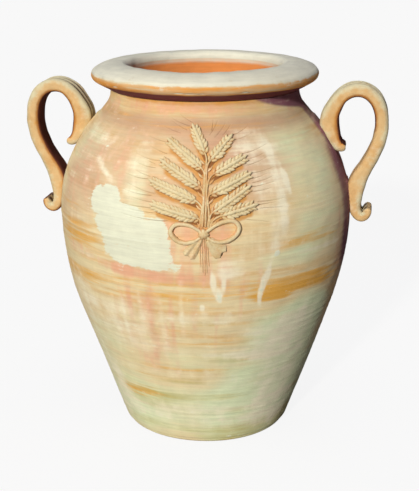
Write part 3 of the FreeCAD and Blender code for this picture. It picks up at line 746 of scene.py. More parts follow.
@dataclass
class ThrownSection:
    """Section of the thrown wall between two heights, closed by its inside and its two joints.

    The columns are close together across the front and wider round the back. The sheaf's orange
    wash and painted shade lines are on the front of the sections that reach above sheaf_low.
    """

    node: str
    low: float
    high: float
    spacing: float
    front: int
    back: int
    inner_rows: int = 9
    slot: str = "washed_terracotta"
    half_front: float = 37.0
    sheaf_low: float = 380.0
    slow_rise: float = 0.55
    ring_rise: float = 0.15
    dab_rise: float = 0.16
    lime_rise: float = 0.35
    painted_band_below_lip: Span = (547.0, 556.0)
    painted_shadow_below_lip: Span = (557.0, 562.0)

    def on_sheaf(self, rule: Callable[[Array, Array], Array], azimuth: Array,
                 height: Array) -> Array:
        """A rule's values over the sheaf, and 0 elsewhere.

        Args:
            rule: gives values for azimuths and heights.
            azimuth: degrees.
            height: millimetres.

        Returns:
            Value at each place.
        """
        values = np.zeros(azimuth.shape)
        if self.high > self.sheaf_low:
            front = np.abs(turn_from(azimuth[0], 0.0)) < self.half_front - 1.0
            values[:, front] = rule(azimuth[:, front], height[:, front])
        return values

    def unevenness(self, azimuth: Array, height: Array) -> Array:
        """How far the outside stands proud of the true section.

        Adds slow waves, throwing rings about 9 mm apart, dabs, a raised belly joint, the thickness
        of the lime, the clay smeared against the handles, and the incised hairs, 1 mm deep.

        Args:
            azimuth: degrees.
            height: millimetres.

        Returns:
            Millimetres at each place.
        """
        lower = 0.3 + 0.7 * soft_step(-height, -350.0, -290.0)
        left = 0.5 + 0.5 * np.cos(np.radians(azimuth + 70.0))
        joint = np.exp(-((height - WALL.belly_height - 0.4) / 2.4) ** 2)
        return (self.slow_rise * waves(azimuth, height, *SLOW_WAVES)
                + self.ring_rise * lower * waves(azimuth, height, 5, (0, 2), (7.0, 13.0))
                + self.dab_rise * waves(azimuth, height, 7, (9, 34), (24.0, 70.0), 24)
                + (0.15 + 0.6 * left ** 2) * joint
                + self.lime_rise * coat_cover(Coat.LIME, azimuth, height)
                + weld_rise(azimuth, height) - self.on_sheaf(awn_depth, azimuth, height))

    def marks(self, azimuth: Array, height: Array) -> Marks:
        """Covers of the coats, of the sheaf's orange wash and of the painted shade on the outside.

        Painted shade gathers under the lip: dark just below it, and an orange band below that,
        thinly on the left.

        Args:
            azimuth: degrees.
            height: millimetres.

        Returns:
            Values by mark.
        """
        marks = wall_marks(azimuth, height)
        from_left = np.abs(turn_from(azimuth, -90.0))
        # Painted shade: an orange band under the lip, thin on the left where the lip's shadow is
        # narrow, and left out under the dark red-purple coat.
        painted_neck_shade = (0.75 * soft_step(height, *self.painted_band_below_lip) * (1.0 - marks["painted_shade"])
                     * (0.3 + 0.7 * soft_step(from_left, 24.0, 50.0)))
        marks["hollow"] = np.maximum(self.on_sheaf(sheaf_shade, azimuth, height), painted_neck_shade)
        marks["cut"] = self.on_sheaf(sheaf_painted_dark_lines, azimuth, height)
        # Painted shadow: a dark band just below the lip.
        marks["crease"] = soft_step(height, *self.painted_shadow_below_lip)
        return marks

    def build(self) -> Piece:
        """Make the section as one loop of its outline carried round the axis.

        Returns:
            The piece, with its inside bare.
        """
        azimuth = np.concatenate([
            np.linspace(-self.half_front, self.half_front, self.front, endpoint=False),
            np.linspace(self.half_front, 360.0 - self.half_front, self.back, endpoint=False)])
        around, up = np.meshgrid(azimuth, WALL.levels(self.low, self.high, self.spacing))
        outside = WALL.place(around, up, self.unevenness(around, up))
        inner = np.linspace(self.high, self.low, self.inner_rows)[:, None]
        inside = turned(WALL.radius(inner, WALL.thickness), azimuth, inner)
        bare = np.zeros(inside.shape[:2])
        marks = {mark: np.concatenate([values, bare])
                 for mark, values in self.marks(around, up).items()}
        marks["inside"] = np.concatenate([np.zeros(around.shape), bare + 1.0])
        points = np.concatenate([outside, inside])
        return ring(self.node, points, marks)


@dataclass
class BaseSlab:
    """Base slab with its worn edge and drain hole."""

    node: str = "base_disc"
    slot: str = "washed_terracotta"
    thickness: float = 24.0
    worn_edge: float = 7.0
    drain_radius: float = 12.5
    columns: int = 420

    def build(self) -> Piece:
        """Carry the outline round the axis: up the side, in across the top, down the hole, out.

        Returns:
            The piece.
        """
        turn = np.linspace(0.0, math.pi / 2, 7)
        worn = np.stack([WALL.radius(0.0) - self.worn_edge * (1 - np.sin(turn)),
                         self.worn_edge * (1 - np.cos(turn))], axis=1)
        side_z = np.linspace(self.worn_edge, self.thickness, 9)[1:]
        side = np.stack([WALL.radius(side_z), side_z], axis=1)
        hole, top = self.drain_radius, self.thickness
        rest = ((130.0, top), (90.0, top), (40.0, top), (hole + 1.5, top), (hole, top - 1.5),
                (hole, 1.2), (hole + 1.2, 0.0), (45.0, 0.0), (90.0, 0.0), (122.0, 0.0))
        outline = np.concatenate([worn, side, rest])
        azimuth = np.linspace(0.0, 360.0, self.columns, endpoint=False)
        around, height = np.meshgrid(azimuth, outline[:, 1])
        bare = np.arange(len(outline))[:, None] >= len(worn) + len(side)
        wobble = np.where(bare, 0.0, 0.5 * waves(around, height, *SLOW_WAVES))
        points = turned(outline[:, :1] + wobble, around, height)
        marks = wall_marks(around, height) | {"inside": bare}
        return ring(self.node, points, marks)


@dataclass
class RolledLip:
    """Thick rolled lip: sloping underside, round nose, low crown, and the rounded mouth.

    A disc of the outline, such as the nose, is its centre's distance from the axis, its centre's
    height and its own radius. A chip is its length round the lip, its stage, and its half sizes.
    """

    node: str = "rim_lip"
    slot: str = "washed_terracotta_lip"
    top: float = 600.0
    nose: Triple = (169.4, 582.2, 10.6)
    crown_start: float = 142.5
    mouth: Triple = (133.0, 588.0, 12.0)
    land_low: float = 561.0
    slope: float = 29.0
    columns: int = 640
    chip_radius: float = 175.0
    chip_depth: float = 1.6
    chips: tuple[tuple[float, float, float, float], ...] = (
        (-38.0, 1.14, 10.0, 0.10), (-22.0, 1.10, 12.0, 0.10), (-4.0, 1.12, 6.0, 0.08),
        (58.0, 1.16, 8.0, 0.10), (67.0, 1.12, 5.0, 0.08), (-150.0, 1.2, 7.0, 0.08),
        (260.0, 1.15, 9.0, 0.1), (-340.0, 1.2, 10.0, 0.1), (430.0, 1.18, 8.0, 0.08))

    def outline(self) -> tuple[Array, Array]:
        """Outline from the foot of the underside round to the inner foot, and its stages.

        The crown is level where it starts and touches the nose from outside.

        Returns:
            Points of shape (n, 2), and for each a stage from 0 at the foot, 1 at the nose's lower
            edge, 2 at its upper edge, 3 at the start of the mouth, to 4 at the inner foot.
        """
        def arc(disc: Triple, start: float, end: float, count: int) -> Array:
            """Points on a disc's edge between two angles in degrees."""
            turn = np.radians(np.linspace(start, end, count))
            return np.array(disc[:2]) + disc[2] * np.stack([np.cos(turn), np.sin(turn)], axis=1)

        reach, drop = self.nose[0] - self.crown_start, self.top - self.nose[1]
        radius = (reach ** 2 + drop ** 2 - self.nose[2] ** 2) / (2 * (drop - self.nose[2]))
        nose_top = math.degrees(math.atan2(radius - drop, reach))
        nose = arc(self.nose, self.slope - 90.0, nose_top, 34)
        foot_z = nose[0, 1] - (nose[0, 0] - WALL.neck_radius) * math.tan(math.radians(self.slope))
        under = np.linspace((WALL.neck_radius, foot_z), nose[0], 14, endpoint=False)
        top = arc((self.crown_start, self.top - radius, radius), nose_top, 90.0, 20)[1:]
        mouth = arc(self.mouth, 90.0, 180.0, 22)
        land = np.linspace(mouth[-1], (mouth[-1, 0], self.land_low), 9)[1:]
        inner = np.linspace(land[-1], (WALL.neck_radius - WALL.thickness, foot_z), 5)[1:]
        parts = [under, nose, top, mouth, land, inner]
        stages = [np.linspace(first, last, len(part)) for part, first, last in
                  zip(parts, (0.0, 1.0, 2.0, 3.0, 3.5, 3.8), (0.98, 2.0, 2.9, 3.5, 3.8, 4.0))]
        return np.concatenate(parts), np.concatenate(stages)

    def build(self) -> Piece:
        """Make the lip with slow unevenness, finger dents on the nose, and small chips below it.

        Returns:
            The piece.
        """
        outline, stage = self.outline()
        azimuth = np.linspace(-180.0, 180.0, self.columns, endpoint=False)
        around, level = np.meshgrid(azimuth, outline[:, 1])
        stages = np.broadcast_to(stage[:, None], around.shape)
        tangent = np.gradient(outline, axis=0)
        normal = unit(np.stack([tangent[:, 1], -tangent[:, 0]], axis=1))
        chipped, length = np.zeros(around.shape), np.radians(around) * self.chip_radius
        for place, height, reach, depth in self.chips:
            far = np.hypot((length - place) / reach, (stages - height) / depth)
            chipped = np.maximum(chipped, soft_step(1.0 - far, 0.0, 0.7))
        uneven = (0.50 * waves(around, level, 11, (1, 5), (60.0, 140.0))
                  + 0.22 * waves(around, level, 13, (7, 26), (14.0, 40.0), 20))
        proud = (soft_step(np.minimum(stages, 4.0 - stages), 0.0, 0.5) * uneven
                 - self.chip_depth * chipped)
        points = turned(outline[:, :1] + normal[:, :1] * proud, around,
                        outline[:, 1:] + normal[:, 1:] * proud)
        top = soft_step(stages, 1.50, 1.84) * soft_step(3.74 - stages, 0.0, 0.24)
        angle = np.radians(around)
        ends = np.maximum(soft_step(np.abs(np.sin(angle)), 0.55, 0.95),
                          soft_step(-np.cos(angle), 0.2, 0.9))
        # Painted shade: the left inside of the mouth, which the lip's own rim shades, takes the
        # dark red-purple coat, and the underside and foot of the lip take the dark painted shadow.
        painted_shade_in_mouth = (soft_step(stages, 3.15, 3.35)
                       * soft_step(-np.abs(around + 112.0), -42.0, -14.0))
        marks = {"lime": np.maximum(top, chipped), "ochre": (1.0 - top) * 0.85,
                 "sage": top * (0.35 + 0.55 * ends), "painted_shade": 0.9 * painted_shade_in_mouth,
                 "inside": soft_step(stages, 3.38, 3.64), "crease": soft_step(-stages, -1.1, -0.8)}
        return ring(self.node, points, marks)


# --- strap handles

@dataclass
class StrapHandle:
    """Pulled strap with three ribs and two finger grooves, bent to its loop."""

    node: str
    slot: str = "washed_terracotta_handle"
    thickness: float = 21.0
    width: float = 45.0
    rounding: float = 8.0
    groove: float = 3.0
    tip: float = 5.0
    dent: float = 0.28
    rings: int = 300
    # Share of the inner side's ochre and painted shade that the outer arm keeps.
    outer_arm_tint_and_shade: float = 1.0

    def section(self) -> Array:
        """Section of the strap as shares, once round from one side of the outer face.

        With x from -1 to 1 across the outer face, its two grooves are 0.5 - 0.5 cos(2 pi x) of the
        full depth, which leaves three ribs. The corners are quarter circles.

        Returns:
            A row for each point: its shares of the flat half width and of the corner radius
            sideways, then of the half thickness, the corner radius and the groove's depth outwards.
        """
        def rows(*columns: Array | float) -> Array:
            """Rows of five shares."""
            return np.stack(np.broadcast_arrays(*columns), axis=1)

        def corner(start: float, across: int, out: int) -> Array:
            """Rounded corner in one quadrant, turning a quarter circle from start degrees."""
            turn = np.radians(np.linspace(start, start + 90.0, 8))[1:-1]
            return rows(across, across * np.abs(np.sin(turn)),
                        out, out * (np.abs(np.cos(turn)) - 1), 0.0)

        outer, down = np.linspace(-1.0, 1.0, 33), np.array([1.0, 0.33, -0.33, -1.0])
        side, ribs = rows(1.0, 1.0, down, -down, 0.0), 0.5 * np.cos(2 * math.pi * outer) - 0.5
        return np.concatenate([
            rows(outer, 0.0, 1.0, 0.0, ribs), corner(0.0, 1, 1), side, corner(90.0, 1, -1),
            rows(np.linspace(1.0, -1.0, 13), 0.0, -1.0, 0.0, 0.0), corner(180.0, -1, -1),
            side[::-1] * (-1, -1, 1, 1, 1), corner(270.0, -1, 1)])

    def build(self) -> Piece:
        """Carry the section along the route and close both tips with a rounded end.

        A point stands off the route by its level along the route's normal, and across it by its
        distance from the strap's middle.

        Returns:
            The piece.
        """
        route = smooth_route(np.array(HANDLE_ROUTE), self.rings)
        share = np.linspace(0.0, 1.0, self.rings)
        along = unit(np.gradient(route[:, :2], axis=0))
        out = np.stack([-along[:, 1], along[:, 0]], axis=1)
        length = run_length(route[:, :2])
        to_tip = np.clip(np.minimum(length, length[-1] - length) / self.tip, 0.0, 1.0)
        end = np.sqrt(np.clip(1.0 - (1.0 - to_tip) ** 2, 0.02, 1.0))
        half = 0.5 * self.thickness * route[:, 2] * end
        side = 0.5 * self.width * (0.90 + 0.10 * end) * (1.0 - 0.05 * np.cos(share * 9.0))
        corner = np.minimum(self.rounding, 0.8 * half)
        groove = self.groove * np.minimum(route[:, 2], 1.0) * end
        shares = self.section().T
        across = np.outer(side - corner, shares[0]) + np.outer(corner, shares[1])
        level = sum(map(np.outer, (half, corner, groove), shares[2:]))
        dents = self.dent * waves(across * 3.0, length[:, None], 17, (1, 5), (16.0, 60.0))
        level = level + dents * np.abs(shares[2]) * end[:, None]
        reach, height = route[:, :1] + out[:, :1] * level, route[:, 1:2] + out[:, 1:] * level
        azimuth = HANDLE_AZIMUTHS[self.node]
        points = turned(reach, azimuth, height) + turned(across, azimuth + 90.0, 0.0)
        share_out = np.clip(level / half[:, None], -1.0, 1.0)
        outer, crest = soft_step(share_out, -0.35, 1.0), soft_step(out[:, 1:], -0.2, 0.9)
        # Painted shade: the inner side, facing the jar, darkens through orange-brown to dark, and
        # the finger grooves are darkened; the ochre there is wash. The outer arm keeps only a share
        # of these inner-side marks.
        wash = 1.0 - (1.0 - self.outer_arm_tint_and_shade) * soft_step(share, 0.48, 0.60)[:, None]
        marks = {"lime": outer * (0.55 + 0.45 * crest), "sage": outer * 0.45,
                 "ochre": 0.8 * soft_step(-share_out, -0.3, 0.9) * wash,
                 "hollow": soft_step(-share_out, 0.1, 0.9) * wash,
                 "crease": soft_step(-share_out, 0.62, 1.0) * wash, "cut": -1.15 * shares[4]}
        return make_piece(f"{self.node}_clay", points, tube_faces(1, *points.shape[:2]), marks)


# --- the sheaf

@dataclass(frozen=True)
class WallRoute:
    """Line on the wall with its frame at every step, for laying sprigs along."""

    middle: Array
    along: Array
    side: Array
    out: Array

    @staticmethod
    def through(places: list[Place], count: int) -> "WallRoute":
        """Lay a smooth line through places on the wall.

        Args:
            places: azimuth and height of each place.
            count: number of steps.

        Returns:
            The line.
        """
        azimuth, height = np.array(places).T
        line = smooth_route(WALL.place(azimuth, height), count)
        azimuth = np.degrees(np.arctan2(line[:, 0], -line[:, 1]))
        middle, out = WALL.place(azimuth, line[:, 2]), WALL.normal(azimuth, line[:, 2])
        along = unit(np.gradient(middle, axis=0))
        return WallRoute(middle, along, unit(np.cross(along, out)), out)

    def at(self, share: Array) -> "WallRoute":
        """Read the line between its steps, where it is straight.

        Args:
            share: how far along the line, from 0 to 1.

        Returns:
            The line at those shares.
        """
        steps = np.linspace(0.0, 1.0, len(self.middle))
        middle, *frame = (np.stack([np.interp(share, steps, part) for part in values.T], axis=-1)
                          for values in (self.middle, self.along, self.side, self.out))
        return WallRoute(middle, *map(unit, frame))

    def offset(self, across: Array, back: Array | float, up: Array | float) -> Array:
        """Points beside each step: across to its side, back along the line, up off the wall."""
        return moved(self.middle[:, None], (self.side[:, None], across),
                     (self.along[:, None], -back), (self.out[:, None], up))

    def bead(self, half_width: Array, rise: Array, around: int, square: float = 1.0) -> Array:
        """Make rings: half_width cos(a) sideways, and rise sin(a)^square up or 1.2 sin(a) down.

        Args:
            half_width: for each step.
            rise: for each step.
            around: points in a ring.
            square: power that squares the ring's shape, below 1.

        Returns:
            Points of shape (steps, around, 3).
        """
        turn = circle(around)
        up, over = np.sin(turn), np.cos(turn)
        across = np.outer(half_width, np.sign(over) * np.abs(over) ** square)
        lifted = np.where(up >= 0, np.outer(rise, np.abs(up) ** square), -1.2 * np.abs(up))
        return self.offset(across, 0.0, lifted)


def rounded_ends(count: int, blunt: float) -> Array:
    """Close a bead's two ends in quarter circles.

    Args:
        count: steps along the bead.
        blunt: share of its length that an end takes.

    Returns:
        Factor for the bead's size at each step.
    """
    share = np.linspace(0.0, 1.0, count)
    reach = np.clip(np.minimum(share, 1 - share) / blunt, 0.0, 1.0)
    return np.sqrt(np.clip(1.0 - (1.0 - reach) ** 2, 0.01, 1.0))


@dataclass
class WheatEar:
    """Moulded wheat ear: a low core under three rows of husks, and one husk at the tip."""

    plan: EarPlan
    slot: str = "washed_terracotta_relief"
    pitch: float = 5.3
    husk_length: float = 13.0
    husk_width: float = 3.2
    husk_rise: float = 2.5
    lean: float = 40.0
    core_half: float = 7.6
    core_rise: float = 3.4
    core_steps: int = 40
    core_around: int = 12
    rings: int = 8
    around: int = 10

    @property
    def node(self) -> str:
        """CAD node that the ear stands for."""
        return f"wheat_ear_{self.plan.name}"

    def build(self) -> Piece:
        """Make the core and every husk in one mesh.

        Returns:
            The piece.
        """
        line = WallRoute.through([self.plan.base, self.plan.tip], self.core_steps)
        share = np.linspace(0.0, 1.0, self.core_steps)
        taper = (np.minimum(1.0, 0.5 + 3.0 * share) * (1.0 - 0.5 * share ** 2.6)
                 * rounded_ends(self.core_steps, 0.06))
        core = line.bead(self.core_half * taper, self.core_rise * taper, self.core_around)
        core = core.reshape(-1, 3)
        husks, height = self.husks(line)
        faces = tube_faces(1, self.core_steps, self.core_around) + [
            part + len(core) for part in tube_faces(len(husks), self.rings, self.around)]
        height = np.concatenate([np.full(len(core), 0.1), height.ravel()])
        # Painted shade darkens the lowest parts, between the husks and against the wall.
        marks = {"lime": soft_step(height, 0.30, 0.75),
                 "ochre": 0.7 * soft_step(-height, -0.6, -0.2),
                 "hollow": soft_step(-height, -0.42, -0.05),
                 "sage": 0.35 * soft_step(height, 0.6, 1.0),
                 "cut": 0.9 * soft_step(-height, -0.28, 0.0)}
        points = np.concatenate([core, husks.reshape(-1, 3)])
        return make_piece(f"{self.node}_sprig", points, faces, marks, 70.0)

    def husks(self, line: WallRoute) -> tuple[Array, Array]:
        """Points of the husks, and how high each stands.

        A husk is a spindle: with t running from root to tip its half width is the width times
        sin(pi t^0.75)^0.7, so it is fullest near the root. Its section is keeled, the height being
        |sin a|^1.2 above, and its tip lifts off the core. The outer rows lean away from the ear's
        middle line; the middle row lies straight along it, half a step behind them.

        Args:
            line: the ear's middle line.

        Returns:
            Points of shape (husks, rings, around, 3), and heights from 0 at the wall to 1.
        """
        length = float(np.linalg.norm(line.middle[-1] - line.middle[0]))
        rows = max(7, round((length - self.husk_length) / self.pitch))
        # The same seed for an ear on every run: a sum of its name's letters by place.
        draw = np.random.default_rng(sum(place * ord(letter) for place, letter in
                                         enumerate(self.plan.name, 1)))
        hand = np.append(np.tile([-1.0, 1.0, 0.0], rows), 0.0)
        husk = self.husk_length / length
        row = np.repeat(np.linspace(0.0, 1.0, rows), 3)
        root = np.append(row * (1.0 - 0.95 * husk), 1.0 - husk)
        root[:-1] += np.tile([0.0, 0.35, 0.6], rows) * self.pitch / length
        size = np.minimum(1.0, 0.68 + 2.2 * root) * (1.0 - 0.20 * root ** 2.2)
        size = (size * draw.uniform(0.92, 1.08, len(root)))[:, None, None]
        frame = line.at(root)
        lean = np.radians(self.lean + draw.uniform(-5.0, 5.0, len(root)))
        lean = (lean * hand * (1.0 - 0.28 * root))[:, None, None, None]
        along, side, out = (part[:, None, None] for part in (frame.along, frame.side, frame.out))
        run = along * np.cos(lean) + side * np.sin(lean)
        cross = side * np.cos(lean) - along * np.sin(lean)
        t = np.linspace(0.015, 0.985, self.rings)[:, None]
        girth = np.sin(math.pi * t ** 0.75) ** 0.7
        turn = circle(self.around)
        rise = np.abs(np.sin(turn))
        keel = np.where(np.sin(turn) >= 0, rise ** 1.2, -0.9 * rise)
        bed = np.where(hand == 0.0, 2.9, 1.4)[:, None, None] + 1.7 * t ** 1.5
        up = size * (bed + self.husk_rise * girth * keel)
        start = frame.middle + frame.side * 1.5 * hand[:, None] * size[..., 0]
        points = moved(start[:, None, None], (run, size * self.husk_length * t), (out, up),
                       (cross, size * self.husk_width * girth * np.cos(turn)))
        return points, up / 6.0


@dataclass
class StalkBundle:
    """Trunk of the sheaf: a strand to each ear, leaving the trunk one by one, and small bracts."""

    node: str = "stalk_bundle"
    slot: str = "washed_terracotta_relief"
    strand: float = 1.85
    bract_half: float = 2.0
    bract_rise: float = 2.4
    foot: Place = (-0.7, 391.0)
    steps: int = 40
    around: int = 10

    def strand_tube(self, place: int, ear: EarPlan) -> Array:
        """Run a strand up the trunk in its own lane, out of it below the ear, and into the ear.

        Args:
            place: the ear's place in the plan.
            ear: the ear.

        Returns:
            Points of the tube.
        """
        (foot_az, foot_z), rank = self.foot, place % 5
        lane = ear.hand * (0.50 + 0.95 * (rank // 2))
        leave = max(ear.base[1] - 26.0 + 2.0 * rank, foot_z + 4.0)
        trunk = [(foot_az + lane, foot_z)]
        if leave - foot_z > 16.0:
            trunk.append((0.5 * (foot_az + 0.1) + lane * 0.9, 0.5 * (foot_z + leave)))
        stop = tuple(base + 0.10 * (tip - base) for base, tip in zip(ear.base, ear.tip))
        line = WallRoute.through([*trunk, (0.05 + lane * 0.7, leave), ear.base, stop], self.steps)
        width = self.strand * rounded_ends(self.steps, 0.03)
        swell = 1.0 + 0.12 * np.sin(np.linspace(0.0, 19.0, self.steps) + place)
        return line.bead(width * swell, width * (2.1 - 0.18 * rank), self.around)

    def bract_tube(self, ear: EarPlan) -> Array:
        """Make a small pointed leaf beside the trunk, below the ear.

        Args:
            ear: the ear.

        Returns:
            Points of the tube.
        """
        start, rise = 0.15 * ear.hand + 0.3 * ear.base[0], ear.base[1] - 13.0
        line = WallRoute.through([(start, rise), (start + ear.hand * 1.3, rise + 3.2),
                                  (start + ear.hand * 2.3, rise + 8.0)], self.steps)
        blade = np.sin(math.pi * np.linspace(0.03, 0.99, self.steps) ** 0.75)
        return line.bead(self.bract_half * blade + 0.1, self.bract_rise * blade + 0.1, self.around)

    def build(self) -> Piece:
        """Make every strand and bract in one mesh.

        Returns:
            The piece.
        """
        tubes = np.stack([self.strand_tube(place, ear) for place, ear in enumerate(EARS)]
                         + [self.bract_tube(ear) for ear in EARS])
        middle = np.repeat([0.5, 0.45], len(EARS))[:, None, None]
        height = middle + 0.5 * np.sin(circle(self.around))
        # Painted shade darkens the strands' low sides against the wall.
        return sprig(self.node, tubes, {
            "lime": soft_step(height, 0.88, 1.0) * 0.55, "ochre": 0.55,
            "hollow": soft_step(-height, -0.92, -0.6), "cut": soft_step(-height, -0.8, -0.4) * 0.7})


@dataclass
class StalkEnds:
    """Cut stalks below the knot, fanning a little.

    Each stalk is the azimuth of its start, and the place of its tip.
    """

    node: str = "stalk_ends"
    slot: str = "washed_terracotta_relief"
    stalks: tuple[tuple[float, Place], ...] = (
        (-2.0, (-1.9, 331.0)), (-1.35, (-1.15, 322.0)), (-0.7, (-0.4, 318.0)),
        (-0.05, (0.35, 322.0)), (0.6, (1.1, 332.0)))
    half_width: float = 1.15
    rise: float = 1.9
    top: float = 377.0
    steps: int = 30
    around: int = 10

    def build(self) -> Piece:
        """Make the five stalks in one mesh.

        Returns:
            The piece.
        """
        fade = np.linspace(1.0, 0.62, self.steps) * rounded_ends(self.steps, 0.02)
        tubes = []
        for start, tip in self.stalks:
            bend = 0.55 * start + 0.45 * tip[0] + 0.12 * math.sin(7.0 * start)
            line = WallRoute.through([(start, self.top), (bend, 0.5 * (self.top + tip[1])), tip],
                                     self.steps)
            tubes.append(line.bead(self.half_width * fade, self.rise * fade, self.around))
        height = 0.5 + 0.5 * np.sin(circle(self.around))
        # Painted shade darkens the stalks' low sides.
        return sprig(self.node, np.stack(tubes), {
            "lime": soft_step(height, 0.8, 1.0) * 0.5, "salmon": 0.5,
            "cut": soft_step(-height, -0.4, 0.0) * 0.5})


# --- the bow

@dataclass
class RibbonLoop:
    """Loop of flat ribbon standing on edge, wider at the far end, with a few soft creases."""

    node: str
    route: tuple[Place, ...]
    slot: str = "washed_terracotta_relief"
    half_width: float = 3.5
    rise: float = 5.3
    steps: int = 150
    around: int = 20

    def build(self) -> Piece:
        """Make the loop as a squarish bead.

        Returns:
            The piece.
        """
        share = np.linspace(0.0, 1.0, self.steps)
        far = np.sin(math.pi * share)
        crease = 0.10 * np.sin(46.0 * share) * (1.0 - far) ** 2
        line = WallRoute.through(self.route, self.steps)
        tube = line.bead(self.half_width * (0.72 + 0.36 * far + crease),
                         self.rise * (0.82 + 0.24 * far - crease), self.around, 0.72)
        height = np.sin(circle(self.around))
        return sprig(self.node, tube[None], {
            "lime": soft_step(height, 0.55, 0.98) * 0.72, "salmon": 0.25,
            "ochre": soft_step(-height, -0.7, -0.2) * 0.4,
            "hollow": soft_step(-height, -0.3, 0.1) * 0.6,
            "sage": soft_step(height, 0.8, 1.0) * 0.3})


@dataclass
class RibbonTail:
    """Loose end of the ribbon: a folded, notched strip that opens to the half width spread."""

    node: str
    spread: float
    route: tuple[Place, ...]
    slot: str = "washed_terracotta_relief"
    proud: float = 3.3
    fold: float = 1.3
    steps: int = 60
    across: int = 25

    def build(self) -> Piece:
        """Make the tail, a face over a flat back.

        Across the strip, with v from -1 to 1, the face stands proud - fold cos(2 pi v) off the
        wall, which gives two lobes with a fold between them. The end is drawn back at the fold.

        Returns:
            The piece.
        """
        line = WallRoute.through(self.route, self.steps)
        share, v = np.linspace(0.0, 1.0, self.steps)[:, None], np.linspace(-1.0, 1.0, self.across)
        half = self.spread * (0.42 + 0.58 * np.sin(0.5 * math.pi * share) ** 0.9)
        lobes = (0.5 + 0.5 * np.cos(2 * math.pi * v)) ** 0.7 + 0.35 * np.abs(v) ** 3
        notch = 0.26 * self.spread * lobes * soft_step(share, 0.5, 1.0)
        wave = 0.35 * np.sin(9.0 * share) * (0.4 + 0.6 * v)
        fold = self.fold * np.cos(2 * math.pi * v) * (0.35 + 0.65 * share)
        face = ((self.proud - fold + wave) * rounded_ends(self.steps, 0.05)[:, None]
                * (1.0 - 0.5 * np.abs(v) ** 8) * (1.0 - 0.3 * share))
        top, low = line.offset(half * v, notch, face), line.offset(1.04 * half * v, notch, -1.2)
        height = np.repeat([1.0, 0.0], self.across)
        # Painted shade darkens the tail's sides down to its back.
        return sprig(self.node, np.concatenate([top, low[:, ::-1]], axis=1)[None], {
            "lime": 0.55 * height, "salmon": 0.35 * height, "sage": 0.25 * height,
            "cut": 0.5 * (1.0 - height)}, 45.0)


@dataclass
class RibbonKnot:
    """Knot of the bow: a low dome gathered into seven creases."""

    node: str = "bow_knot"
    slot: str = "washed_terracotta_relief"
    centre: Place = (-0.8, 382.0)
    half_width: float = 8.6
    half_height: float = 7.8
    rise: float = 7.0
    rows: int = 22
    around: int = 56

    def build(self) -> Piece:
        """Make the dome, with its rim pressed into the wall.

        Returns:
            The piece.
        """
        tilt = np.linspace(-0.35, math.pi / 2 - 0.02, self.rows)[:, None]
        turn = circle(self.around)
        crease = 1.0 + 0.07 * np.cos(7 * turn + 0.8) * np.cos(tilt)
        middle, out = WALL.place(*self.centre), WALL.normal(*self.centre)
        side = unit(np.cross((0.0, 0.0, 1.0), out))
        reach, lift = np.cos(tilt) * crease, self.rise * np.sin(tilt) * (0.94 + 0.06 * crease)
        points = moved(middle, (side, self.half_width * reach * np.cos(turn)), (out, lift),
                       (np.cross(out, side), self.half_height * reach * np.sin(turn)))
        return sprig(self.node, points[None], {
            "lime": soft_step(np.sin(tilt), 0.1, 0.8) * 0.6, "ochre": 0.45,
            "hollow": soft_step(1.02 - crease, 0.0, 0.06) * 0.6})


BOW: tuple[RibbonKnot | RibbonLoop | RibbonTail, ...] = (
    RibbonKnot(),
    RibbonLoop("bow_loop_left", (
        (-2.0, 386.0), (-4.6, 392.5), (-8.0, 396.0), (-11.2, 393.5), (-12.4, 385.0), (-10.8, 374.0),
        (-7.4, 368.8), (-4.2, 371.5), (-2.0, 377.0))),
    RibbonLoop("bow_loop_right", (
        (0.4, 386.0), (3.4, 394.5), (7.2, 400.0), (10.4, 398.5), (11.6, 390.0), (9.8, 377.0),
        (6.2, 370.4), (2.9, 371.6), (0.4, 377.0))),
    RibbonTail("bow_tail_left", 10.0, ((-1.9, 375.5), (-4.2, 361.5), (-6.6, 346.5))),
    RibbonTail("bow_tail_right", 12.5, ((1.0, 374.5), (3.3, 362.5), (6.2, 351.0))),
)


# --- finishes

def add_node(tree: bpy.types.NodeTree, kind: str, links: dict | None = None,
             **settings: object) -> bpy.types.Node:
    """Add a node, set its properties, and fill its inputs with numbers or with other sockets.

    Args:
        tree: the material's node tree.
        kind: node type.
        links: inputs by name or identifier, each with a value or a socket to join to it.
        settings: properties of the node.

    Returns:
        The node.
    """
    node = tree.nodes.new(kind)
    for name, value in settings.items():
        setattr(node, name, value)
    for key, value in (links or {}).items():
        socket = next((s for s in node.inputs if s.identifier == key), None) or node.inputs[key]
        if isinstance(value, bpy.types.NodeSocket):
            tree.links.new(value, socket)
        else:
            socket.default_value = value
    return node


def empty_tree(owner: bpy.types.Material | bpy.types.World) -> bpy.types.NodeTree:
    """Give a material or the world an empty node tree.

    Args:
        owner: the material or the world.

    Returns:
        The tree.
    """
    owner.use_nodes = True
    owner.node_tree.nodes.clear()
    return owner.node_tree


